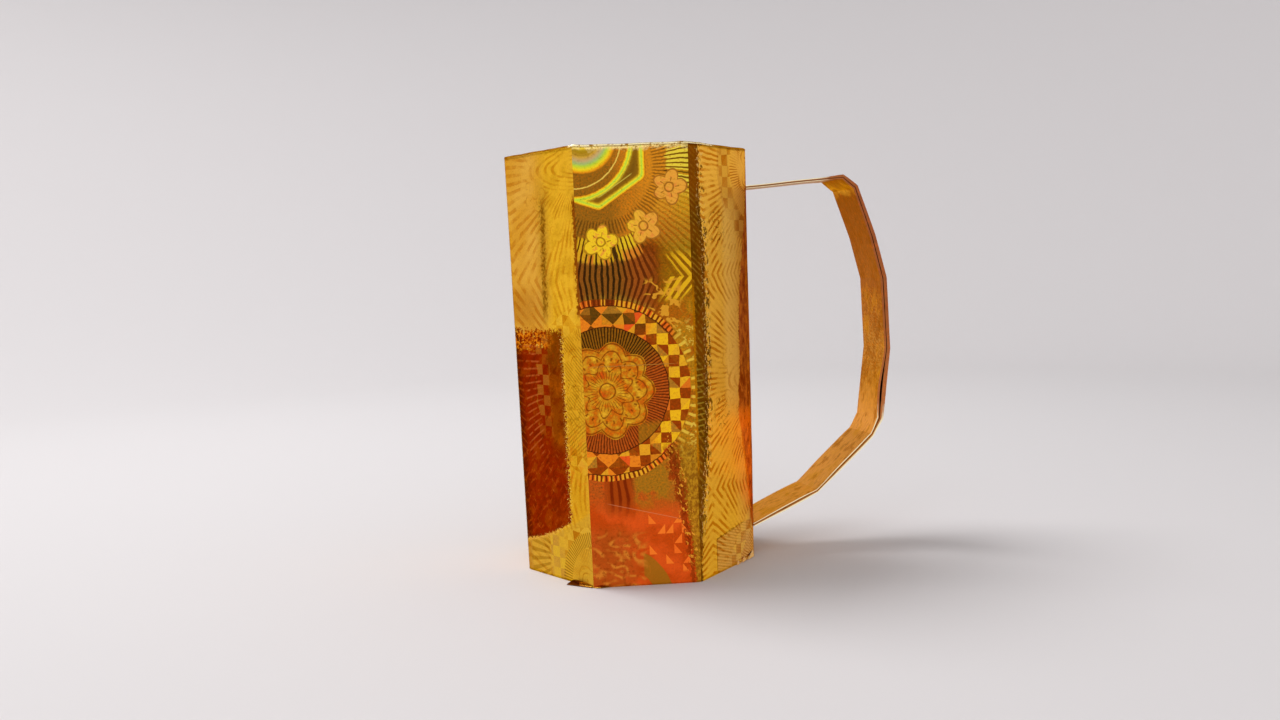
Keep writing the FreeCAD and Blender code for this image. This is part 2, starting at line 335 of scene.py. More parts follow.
# Sizes on the unrolled sheet, in mm
PANEL = 25.0  # width of one wall
LATTICE = (51.0, 48.6)  # distance between medallions, across and up
MEDAL = (30.3, 43.8)  # centre of the medallion on the front wall
RING_OUT = 18.7  # outside of a medallion's ring of checks
RING_IN = 13.9  # inside of the ring of checks
CHECK = 2.41  # width of a check
ROSE = 10.6  # radius of the rosette in the middle of a medallion
ROSE_HEART = 1.7  # radius of the rosette's own middle
BLOSSOM_RING = 16.2  # radius of the ring of blossoms
BLOSSOM = 3.5  # radius of a blossom
BLOSSOM_HEART = 0.95  # radius of a blossom's middle
NEST = (18.0, 5.2)  # half width and half height of a nest of arcs
STRIP_RUN = 131.0  # length of the looped handle strip

# Counts and shares
CHECK_SHIFT = 1.78  # checks from a medallion's middle to the edge of a column
HOURGLASSES = 2  # half the columns whose checks are cut into hourglasses
RAYS = 116  # rays round a medallion
BROAD_RAYS = 78  # rays where the embossing is broader
RAY_SHARE = 0.44  # share of the foil that the rays take up
FINE_RAYS = 124  # fine lines inside the ring of checks
PETALS = 9  # petals of the rosette
BLOSSOMS = 10  # blossoms round the medallions that have no checks
ARCS = 6.5  # arcs from the middle of a nest to its edge


def sheet_place(net):
    """Place on the unrolled sheet, in mm: across from the left corner, and up."""
    flat = net.node("ShaderNodeUVMap", {"uv_map": "sheet"})
    inputs = {0: flat, "Scale": 1 / UV_PER_MM}
    place = net.node("ShaderNodeVectorMath", {"operation": "SCALE"}, inputs)
    x = net.node("ShaderNodeSeparateXYZ", None, [place])
    return place, x, x.sibling("Y")


def squares(across, up):
    """Column and row of the unit square at a place, and 1 in every other square."""
    column = across.math("FLOOR")
    row = up.math("FLOOR")
    return column, row, (column + row).math("FLOORED_MODULO", 2)


class Motifs:
    """The embossed pattern at a place: where it lies and what is pressed there."""

    def __init__(self, net, x, y, rays=RAYS):
        self.net = net
        column = (x - MEDAL[0]) / LATTICE[0] + 0.5
        row = (y - MEDAL[1]) / LATTICE[1] + 0.5
        self.row = row.math("FLOOR")
        whole = column.math("FLOOR")
        self.x = (column - whole - 0.5) * LATTICE[0]
        self.y = (row - self.row - 0.5) * LATTICE[1]
        self.radius = reach(self.x, self.y)
        self.turn = self.y.math("ARCTAN2", self.x) / math.tau
        self.odd = (whole + self.row).math("FLOORED_MODULO", 2) * (self.row > -0.5)
        self.even = 1 - self.odd
        self.rays = net.stripes(self.turn * rays, RAY_SHARE)
        self.ray_chance = net.chance((self.turn * rays + 0.5).math("FLOOR"), whole, self.row)
        self.nest = reach(self.x / NEST[0], self.y / NEST[1])
        ringed = net.rise(self.radius, RING_OUT - 0.05, RING_OUT + 0.15) * self.even
        self.beyond = ringed + net.rise(self.nest, 1.02, 1.06) * self.odd

    def checks(self):
        """Ring of checks: its area, which facets are lit (painted light and shade), and its own
        number.
        """
        across = self.x / CHECK - CHECK_SHIFT
        up = self.y / CHECK + 1
        column, row, odd = squares(across, up)
        aside = abs((across / 2 + 0.5).math("FRACT") - 0.5)
        above = abs((up / 2 + 0.5).math("FRACT") - 0.5)
        point = aside < above
        middle = abs(across + HOURGLASSES) < HOURGLASSES
        lit = (1 - odd) * (1 - middle) + point * middle
        number = self.net.chance(column, row, point * 3 + self.row)
        area = self.net.within(self.radius, RING_IN, RING_OUT, 0.06) * self.even
        return area, lit, number

    def fine_lines(self):
        """Fine lines between the rosette and the ring of checks."""
        area = self.net.within(self.radius, ROSE - 1.0, RING_IN, 0.1) * self.even
        return area, self.net.stripes(self.turn * FINE_RAYS, 0.42)

    def rosette(self):
        """Plain many-petalled flower in the middle of a medallion."""
        net = self.net
        petal = (self.turn * (math.tau * PETALS)).math("COSINE")
        lobe = abs((self.turn * (math.tau * PETALS / 2)).math("COSINE"))
        inside = self.radius - (ROSE - 1.7 + lobe * 1.9)
        spokes = net.stripes(self.turn * PETALS * 4, 0.22) * net.within(self.radius, 2.4, 4.6, 0.3)
        seeds = net.stripes(self.turn * PETALS * 3, 0.24) * net.within(self.radius, 6.6, 7.3, 0.12)
        lines = most(
            net.line(inside + 0.35, 0.3, 0.1),
            net.line(inside + 2.0, 0.26, 0.08),
            net.line(self.radius - (5.2 - petal * 0.9), 0.28, 0.08),
            net.line(self.radius - ROSE_HEART, 0.25, 0.08),
            spokes,
            seeds,
        )
        return net.rise(inside, 0.06, -0.06) * self.even, lines

    def blossoms(self):
        """Ring of five-petalled blossoms: their area, and their outlines."""
        net = self.net
        slot = self.turn * BLOSSOMS
        along = (slot.math("FRACT") - 0.5) * (math.tau * BLOSSOM_RING / BLOSSOMS)
        out = self.radius - BLOSSOM_RING
        size = reach(along, out)
        around = out.math("ARCTAN2", along) * 2.5
        inside = size - BLOSSOM * (abs(around.math("COSINE")) * 0.42 + 0.72)
        veins = net.line(around.math("SINE"), 0.22, 0.08) * net.within(size, 1.3, 2.2, 0.1)
        lines = most(
            net.line(inside + 0.15, 0.32, 0.12),
            net.line(size - BLOSSOM_HEART, 0.26, 0.1),
            veins,
        )
        return net.rise(inside, 0.08, -0.08) * self.odd, lines * self.odd

    def arcs(self):
        """Nested arcs in the middle of the medallions that have no checks."""
        area = self.net.rise(self.nest, 1.0, 0.97) * self.odd
        return area, self.net.stripes(self.nest * ARCS, 0.4)


def ragged(net, place, x, y, scale, amount):
    """Coordinates pushed about by noise, for ragged edges."""
    push = net.noise(place, scale, 3, 0.6)
    other = net.noise(net.vector(y, x, 5.0), scale, 3, 0.6)
    return x + (push - 0.5) * amount, y + (other - 0.5) * amount


def scrolls(net, place, scale, thin):
    """Thin curling lines, as the outlines of a smooth noise."""
    return net.line(net.noise(place, scale, 1, 0.4) - 0.5, thin, thin * 0.3)


def slant_flecks(net, colour, x, y, area):
    """Short slanting streaks, light and dark, over an area of red foil: painted glints and shade of
    its crinkles.
    """
    slant = net.noise(net.vector((x + y) * 0.2, (y - x) * 0.7), 1.0, 3, 0.6)
    other = net.noise(net.vector((x - y) * 0.3, (y + x) * 1.0, 7), 1.0, 3, 0.6)
    colour = net.mix(net.rise(slant, 0.54, 0.68) * area * 0.6, colour, "#b04a1e")
    colour = net.mix(net.rise(other, 0.6, 0.7) * area * 0.55, colour, "#c4642e")
    return net.mix(net.rise(slant, 0.44, 0.3) * 0.6, colour, "#5e1400")


def gold_wall(name, colours, look, shift=0.0, rays=RAYS, strength=0.62):
    """Foil with soft embossing over the areas that a wall's look paints."""
    material, net, shader = new_material(name)
    place, x, y = sheet_place(net)
    bent_x, bent_y = ragged(net, place, x, y, 0.12, 1.6)
    motifs = Motifs(net, bent_x + shift, bent_y, rays)
    colour, quiet = look(net, colours, place, x, y).paint()

    area, lit, own = motifs.checks()
    fine_area, fine = motifs.fine_lines()
    rose_area, petals = motifs.rosette()
    bloom_area, bloom = motifs.blossoms()
    arc_area, arcs = motifs.arcs()
    lines = most(
        motifs.rays * motifs.beyond * (1 - bloom_area),
        fine * fine_area,
        petals * rose_area,
        bloom * 0.7,
        arcs * arc_area,
    )
    seen = net.rise(net.noise(place, 0.24, 3), 0.4, 0.6) * 0.85 + 0.15
    seen = seen * (1 - quiet * 0.75)
    grain = net.noise(place, 2.2, 3, 0.7)
    colour = net.tint(lines * seen * strength, colour, "#cc9650")
    # Painted light and shade on the facets of the checks.
    checks = area * (1 - quiet)
    colour = net.tint(checks * lit * (own * 0.6 + 0.2), colour, "#d09c5c")
    colour = net.mix(checks * (1 - lit) * own * 0.35, colour, "#f0c044")
    # Painted glints and dark specks over the foil's grain.
    colour = net.tint(net.rise(grain, 0.5, 0.8) * 0.5, colour, "#ffe2a0", "OVERLAY")
    colour = net.tint(net.rise(grain, 0.46, 0.2) * 0.6, colour, "#b88a4c")
    relief = lines * seen * 0.35 + area * lit * own * 0.3 + grain * 0.8
    finish_foil(net, shader, colour, relief, 0.3)
    return material


# ----------------------------------------------------------------------
# Looks of the walls. Places and distances are in mm on the unrolled sheet
# ----------------------------------------------------------------------


class Wall:
    """A place on a wall. x and across run from the sheet's and the wall's own left
    crease, soft_x and soft_y waver a little, and torn_x and torn_y are ragged.
    paint gives the colour there, and how far the embossing is kept out of it."""

    left = 0.0  # the wall's left crease
    waver = (0.6, 2.6)  # scale and amount of the wavering
    tear = (1.6, 1.8)  # scale and amount of the raggedness

    def __init__(self, net, colours, place, x, y):
        self.net = net
        self.colours = colours
        self.place = place
        self.x = x
        self.y = y
        self.across = self.from_crease()
        self.soft_x, self.soft_y = ragged(net, place, self.across, y, *self.waver)
        self.torn_x, self.torn_y = ragged(net, place, self.across, y, *self.tear)
        self.add_noises()

    def from_crease(self):
        return self.x - self.left

    def add_noises(self):
        """Noises that several parts of the wall share."""


class InsideWall(Wall):
    """Inside of the cup: pale gold, as the walls mirror one another."""

    def paint(self):
        cloud = self.net.noise(self.place, 0.12, 3, 0.6)
        return self.net.mix(self.net.rise(cloud, 0.35, 0.65), "#ffecc0", "#f8dca0"), 0.6


class BackWall(Wall):
    """Wall away from the front: gold, with a dark strip or a red lens by a crease, both painted
    reflections.
    """

    closing = 3 * PANEL  # crease where the sheet's ends meet

    def from_crease(self):
        return (self.x / PANEL).math("FRACT") * PANEL

    def add_noises(self):
        net, place = self.net, self.place
        self.flake = net.noise(place, 1.5, 2, 0.7)
        self.crumb = net.noise(place, 0.8, 3, 0.7)
        self.own = net.chance((self.x / PANEL).math("FLOOR"), 4, 0)
        self.lensed = self.own < 0.5

    def paint(self):
        net = self.net
        colour, strip = self.strip(self.gold())
        # The red lens is a painted reflection that bulges out from the far crease.
        bulge = net.rise(abs(self.y - 26 - self.own * 40), 44, 6)
        far = self.torn_x + (self.crumb - 0.5) * 1.6 + bulge * 5.2
        lens = net.rise(far, PANEL - 0.2, PANEL + 0.1) * self.lensed
        red = net.mix(net.rise(self.soft_y, 60, 30), self.colours.red, self.colours.rust_reflection)
        red = slant_flecks(net, red, self.x, self.y, 0.7)
        colour = net.mix(lens, colour, red)
        seam = net.within(self.x - self.closing, 0.5, 1.0, 0.1)
        return net.mix(seam, colour, "#3a2006"), most(strip, lens)

    def gold(self):
        """Gold that differs from wall to wall, with clouds of painted yellow light, amber painted
        shade on some walls, and a dark upright streak of painted shade along a dent.
        """
        net, own, colours = self.net, self.own, self.colours
        cloud = net.noise(self.place, 0.08, 2)
        colour = net.mix(net.rise(cloud, 0.3, 0.7), colours.gold, colours.yellow)
        colour = net.mix(net.rise(own, 0.3, 1.0) * 0.5, colour, colours.amber)
        streak = net.line(self.torn_x - 12 - own * 5 - (self.y - 70) * 0.04, 1.1, 0.5)
        streak = streak * net.within(self.soft_y - own * 10, 56, 82, 2)
        return net.mix(streak * net.rise(self.crumb, 0.4, 0.6) * 0.7, colour, "#8a5c10")

    def strip(self, colour):
        """Dark hatched strip by the left crease, a painted reflection of the dark, with flakes along
        its edge.
        """
        net, crumb = self.net, self.crumb
        edge = 1.2 + net.rise(self.y, 0, 50) * 3.6
        stripped = self.own > 0.5
        strip = net.rise(self.soft_x + (crumb - 0.5) * 3.2 - edge, 0.25, -0.25) * stripped
        slope = net.stripes((self.y + self.across * 0.7) / 1.5, 0.4)
        dark = net.mix(slope * net.rise(crumb, 0.4, 0.6), self.colours.brown, "#97702a")
        colour = net.mix(strip, colour, dark)
        near = net.line(self.soft_x - edge - 0.3, 1.6, 0.5) * stripped
        colour = net.mix(near * net.rise(crumb, 0.56, 0.6) * 0.9, colour, "#4a2608")
        colour = net.mix(near * net.rise(self.flake, 0.4, 0.35) * 0.7, colour, "#ecc47c")
        return colour, strip


class LeftWall(Wall):
    """Left wall: a ragged dark red patch over the gold, yellow beside the front; the patch is a
    painted reflection and the yellow painted light.
    """

    waver = (0.35, 4.0)
    tear = (1.5, 2.6)
    patch_side = 18.0  # edge of the dark red patch towards the front
    patch_head = 57.0  # top of the patch
    fan_middle = (16.5, 5.4)  # where the rays at the foot spread from
    arch_middle = 27.0  # middle of the combed arch at the foot

    def add_noises(self):
        net, place = self.net, self.place
        self.flake = net.noise(place, 2.6, 2, 0.7)
        self.crumb = net.noise(place, 1.0, 3, 0.7)
        self.cloud = net.noise(place, 0.1, 2)
        self.blotch = net.noise(place, 0.26, 3, 0.6)
        self.above_foot = self.y - 7.3 - self.x * 0.2 - self.x * self.x * 0.008

    def paint(self):
        patch = self.patch_area()
        colour = self.net.mix(patch, self.gold(), self.patch_colour())
        colour = self.flakes(colour)
        colour = self.beside_front(colour, patch)
        colour, marks = self.foot(colour)
        return colour, most(patch, marks)

    def gold(self):
        """Tan foil, painted lighter and yellower towards the front, with a dark streak of painted
        shade along an upright bend.
        """
        net, y = self.net, self.y
        tan = net.mix(net.rise(self.cloud, 0.35, 0.65), "#eab24a", "#e0a238")
        yellow = net.mix(net.rise(self.blotch, 0.42, 0.62), "#f0b830", "#e0a828")
        colour = net.mix(net.rise(self.soft_x, 10.0, 16.0), tan, yellow)
        # A darker band above the patch: painted shade.
        dusk = net.within(y, 58, 66, 3) * net.rise(self.x, 14, 6)
        colour = net.mix(dusk * 0.8, colour, "#c5852e")
        # Painted shade beside the upright bend, darkest in a streak along it.
        bend = self.torn_x - 13.1 - (y - 74) * 0.045
        shade = net.line(bend, 3.6, 0.6) * net.within(self.soft_y, 59, 90, 3)
        colour = net.mix(shade * 0.45, colour, "#b8842a")
        streak = net.line(bend, 1.4, 0.3) * net.within(self.soft_y, 60, 86, 2)
        speck = net.rise(self.crumb, 0.42, 0.58)
        colour = net.mix(streak * (speck * 0.55 + 0.4), colour, "#825410")
        # Painted shade in the crease by the front.
        crease = net.rise(self.torn_x, 23.9, 24.6) * net.within(self.soft_y, 60, 86, 1)
        return net.mix(crease, colour, "#8e4a0c")

    def patch_area(self):
        """Area of the dark red patch, a painted reflection, ragged at its side, foot and head."""
        net = self.net
        rough = self.crumb - 0.5
        side = net.rise(self.torn_x + rough * 4.6 - self.patch_side, 0.4, -0.2)
        foot = net.rise(self.above_foot + rough * 2.4, 0.0, 0.4)
        head = net.rise(self.torn_y + rough * 5.0 - self.patch_head, 0.4, -0.3)
        return side * foot * head

    def patch_colour(self):
        """Dark red painted reflection, brown towards the front, with rays, checks and flecks."""
        net, x, y = self.net, self.x, self.y
        soft_x, soft_y = self.soft_x, self.soft_y
        brown = net.rise(soft_x, 11.6, 13.6) * net.rise(soft_y, 27, 33)
        deep = net.mix(net.rise(soft_x, 0.8, 3.4), "#520f00", "#8c2202")
        deep = net.mix(net.rise(soft_y, 22, 10) * net.rise(soft_x, 9, 14) * 0.7, deep, "#98380a")
        deep = net.mix(brown, deep, "#8c400a")
        deep = net.mix(net.rise(self.blotch, 0.5, 0.62) * 0.6, deep, "#741a02")
        deep = net.mix(net.rise(self.blotch, 0.46, 0.38) * (brown * 0.4 + 0.3), deep, "#a8500e")

        tilt = net.rise(y, 52, 30) * 0.7
        fan = net.stripes((y - abs(x - 3.0) * tilt) / 1.78, 0.26)
        fan = fan * (net.within(soft_x, 3.2, 9.2, 0.4) + net.rise(soft_x, 2.8, 2.4) * 0.4)
        fan = fan * net.within(y, 28, 55, 1.5) * net.rise(net.noise(self.place, 0.5, 2), 0.34, 0.52)
        deep = net.mix(fan * 0.75, deep, "#b85a30")
        column, row, odd = squares((x - 0.6) / 2.4, y / 2.35)
        checks = net.within(soft_x, 7.9, 12.9, 0.25) * net.within(y, 33, 56, 1.0) * odd
        deep = net.mix(checks * (net.chance(column, row, 3) * 0.5 + 0.25), deep, "#b06a28")
        dark = net.rise(soft_x, 11.6, 13.0) * net.rise(soft_y, 47, 50)
        deep = net.mix(dark * 0.7 * net.rise(self.crumb, 0.35, 0.55), deep, "#743a08")
        deep = slant_flecks(net, deep, x, y, net.rise(soft_y, 32, 28))

        # Painted glints along the top edge of the patch.
        sparks = net.rise(net.noise(net.vector(x * 0.8, y), 0.9, 3, 0.7), 0.46, 0.58)
        lip = net.within(soft_y, 53.0, 58.4, 1.2) * net.rise(soft_x, 16, 10)
        deep = net.mix(lip * sparks, deep, "#e2801c")
        return net.mix(lip * net.rise(self.crumb, 0.58, 0.66), deep, "#f4c048")

    def flakes(self, colour):
        """Light and dark flakes along the patch's side and foot."""
        net = self.net
        light = net.rise(self.flake, 0.58, 0.62)
        near = net.line(self.torn_x - self.patch_side, 1.3, 0.3) * net.within(self.y, 13, 57, 1)
        colour = net.mix(near * light, colour, "#f2cf70")
        colour = net.mix(near * net.rise(self.flake, 0.42, 0.38), colour, "#5c2404")
        low = net.line(self.above_foot, 0.9, 0.2) * (self.x < self.patch_side)
        return net.mix(low * light, colour, "#f0cc6c")

    def beside_front(self, colour, patch):
        """Yellow foil between the patch and the front, hatched and curled."""
        net, x, y = self.net, self.x, self.y
        beside = net.rise(x - self.patch_side, 0.4, 1.0) * (1 - patch)
        colour = net.mix(beside * net.rise(y, 60, 54) * 0.6, colour, "#d89c24")
        rising = net.stripes((x * 0.8 + y) / 0.9, 0.4) * net.within(self.soft_y, 37, 56, 2)
        falling = net.stripes((y - x * 0.7) / 0.9, 0.4) * net.within(self.soft_y, 29, 37, 1)
        hatch = most(rising, falling) * net.rise(self.blotch, 0.4, 0.5)
        colour = net.mix(beside * hatch * 0.6, colour, "#9c6e18")
        curls = scrolls(net, self.place, 0.4, 0.03) * net.within(self.soft_y, 35, 46, 1.5)
        colour = net.mix(beside * curls * 0.6, colour, "#a47418")
        # A painted orange glow low on the wall, beside the patch.
        glow = net.rise(net.noise(self.place, 0.5, 2), 0.52, 0.62) * net.within(y, 22, 34, 3)
        return net.mix(beside * glow * 0.6, colour, "#e08a24")

    def foot(self, colour):
        """Gold below the patch, with spreading rays, checks and a combed arch."""
        net, x, y = self.net, self.x, self.y
        low = net.rise(self.above_foot, 0.0, -0.8)
        colour = net.mix(low * 0.7, colour, "#d4a336")
        turn = (y - self.fan_middle[1]).math("ARCTAN2", self.fan_middle[0] - x)
        rays = net.stripes(turn / 0.16, 0.46) * net.within(self.soft_x, 1.6, 9.4, 0.4)
        colour = net.mix(low * rays * 0.6, colour, "#9e701e")
        area = low * net.within(x, 9.6, 15.0, 0.15)
        odd = squares(x / 2.6, y / 2.5)[2]
        faded = net.rise(self.cloud, 0.35, 0.6) * 0.35 + 0.15
        colour = net.mix(area * odd * faded, colour, "#b98640")
        colour = net.mix(area * (1 - odd) * faded, colour, "#e6bc38")
        out = net.away(self.place, (self.arch_middle, 0, 0))
        arch = net.within(out, 9.6, 12.8, 0.15) * low
        comb = net.stripes(y.math("ARCTAN2", x - self.arch_middle) * 17, 0.42)
        colour = net.mix(arch * comb * 0.75, colour, "#8c5e14")
        colour = net.mix(low * net.rise(self.soft_x, 2.4, 1.0) * 0.6, colour, "#b9803c")
        return colour, most(area, arch)


class RightWall(Wall):
    """Right wall: a dark strip beside the front and a red lens along the far crease, both painted
    reflections.
    """

    left = 2 * PANEL
    waver = (0.7, 2.4)
    tear = (1.8, 1.6)
    flap_left = 7.4  # left edge of the folded flap at the foot
    flap_top = 8.0  # its height, which rises to the right
    band_middle = (80.4, 92.4, 0)  # middle of the broad arc across the wall
    # Middle of each cluster of curls, with where it ends and where it is full
    clusters = (((61.0, 78.6, 0), 4.4, 3.4), ((66.5, 73.6, 0), 3.6, 2.8), ((61.0, 37.0, 0), 4.2, 3.2))

    def add_noises(self):
        net, x, y = self.net, self.x, self.y
        self.flake = net.noise(net.vector(x * 1.2, y * 0.8), 1.5, 2, 0.7)
        self.crumb = net.noise(net.vector(x * 1.1, y * 0.8, 3), 0.8, 3, 0.7)
        self.cloud = net.noise(self.place, 0.1, 2)

    def paint(self):
        net, y = self.net, self.y
        colour = self.curls(self.flap(self.gold()))
        colour, strip = self.strip(colour)
        lens, red = self.lens()
        # Painted highlight: a pale glare up the middle of the wall.
        glare = net.within(self.across, 13.5, 19.5, 1.5) * net.rise(y, 32, 44) * net.rise(y, 88, 80)
        colour = net.mix(glare * 0.8, colour, "#fecc64")
        return net.mix(lens, colour, red), most(strip, lens, glare * 0.5)

    def gold(self):
        """Gold foil, painted lighter towards the rim, with a broad darker arc."""
        net, y = self.net, self.y
        colour = net.mix(net.rise(y, 20, 70), "#e8ae3c", "#f8be4a")
        colour = net.mix(net.rise(y, 78, 95) * 0.8, colour, "#f6ba50")
        colour = net.mix(net.rise(self.cloud, 0.4, 0.7) * 0.4, colour, "#dea238")
        colour = net.mix(net.rise(self.soft_x, 15, 22) * 0.5, colour, "#ecac54")
        band = net.within(net.away(self.place, self.band_middle), 13.6, 18.6, 0.4)
        return net.mix(band * 0.6, colour, "#d29442")

    def flap(self, colour):
        """Hatched flap at the foot, with its seams, and the paler corner below it."""
        net, y, across = self.net, self.y, self.across
        rise = (across - 7) * 0.12 + self.flap_top
        flap = net.rise(y - rise, 0.2, -0.4) * net.rise(across - self.flap_left, -0.1, 0.2)
        dense = net.stripes((y + across * 0.3) / 0.7, 0.4)
        colour = net.mix(flap * 0.7, colour, "#d8a058")
        colour = net.mix(flap * dense * 0.4, colour, "#8e5a1c")
        top = net.line(self.torn_y - rise, 0.24, 0.08) * net.within(across, self.flap_left, 20, 0.2)
        side = net.line(across - self.flap_left, 0.18, 0.06) * net.within(y, 0.8, 8.0, 0.2)
        colour = net.mix(most(top, side) * 0.7, colour, "#70430f")
        pale = net.rise(self.soft_x + (10 - y) * 1.1, 19, 27)
        return net.mix(pale * 0.5, colour, "#c4945e")

    def curls(self, colour):
        """Clusters of thin brown curls."""
        net = self.net
        marks = scrolls(net, self.place, 0.5, 0.035) * net.rise(self.crumb, 0.4, 0.5)
        near = [net.rise(net.away(self.place, spot), end, full) for spot, end, full in self.clusters]
        return net.mix(marks * most(*near) * 0.75, colour, "#8f5214")

    def strip(self, colour):
        """Dark hatched strip beside the front, a painted reflection of the dark, with flakes along its
        edge.
        """
        net, y, crumb = self.net, self.y, self.crumb
        edge = 1.0 + net.rise(y, 2, 42) * 4.2 - net.rise(y, 74, 84) * 1.3
        strip = net.rise(self.soft_x + (crumb - 0.5) * 3.4 - edge, 0.25, -0.25)
        slope = net.stripes((y + abs(y - 68) * 0.2 + self.across * 0.7) / 1.5, 0.4)
        dark = net.mix(net.rise(self.cloud, 0.36, 0.62), "#5c3a0c", "#7a4410")
        dark = net.mix(slope * net.rise(crumb, 0.4, 0.6) * 0.8, dark, "#97702a")
        dark = net.mix(net.rise(self.soft_y, 80, 90) * 0.6, dark, "#8a4a14")
        bars = net.stripes(y / 1.25, 0.26) * net.within(self.soft_y, 33, 48, 2)
        dark = net.mix(bars * net.rise(self.soft_x, 4, 3) * 0.7, dark, "#a89038")
        creep = net.rise(self.torn_x, 1.1, 0.4) * net.within(y, 25, 66, 4)
        dark = net.mix(creep, dark, "#c07c14")
        colour = net.mix(strip, colour, dark)
        near = net.line(self.soft_x - edge - 0.3, 2.0, 1.0) * net.rise(y, 6, 16)
        colour = net.mix(near * net.rise(crumb, 0.53, 0.57) * 0.9, colour, "#56300c")
        colour = net.mix(near * net.rise(self.flake, 0.44, 0.38) * 0.75, colour, "#ecc47c")
        return colour, strip

    def lens(self):
        """Long red reflection that bulges from the far crease: its area and colour."""
        net, y, soft_y = self.net, self.y, self.soft_y
        bulge = net.rise(abs(y - 44), 50, 10)
        bite = net.within(soft_y, 33, 43, 1.5) * 0.7 - net.rise(y, 32, 20) * 0.9
        far = self.torn_x + (self.crumb - 0.5) * 1.4 + bulge * 5.0 + bite - PANEL
        red = net.mix(net.rise(soft_y, 56, 44), "#bc6030", "#b8682c")
        red = net.mix(net.within(soft_y, 38, 46, 1.5) * 0.6, red, "#9a3c08")
        red = net.mix(net.within(soft_y, 32, 37, 1.0) * 0.8, red, "#dc7c24")
        gleam = net.noise(net.vector(self.across, y * 0.4), 0.9, 3, 0.6)
        red = net.mix(net.rise(gleam, 0.48, 0.6) * 0.8, red, "#e08434")
        red = net.mix(net.rise(gleam, 0.46, 0.34) * 0.75, red, "#842a06")
        red = net.mix(net.rise(far, 0.8, 0.0) * net.rise(y, 34, 28) * 0.8, red, "#de8c24")
        return net.rise(far, -0.4, -0.1), red


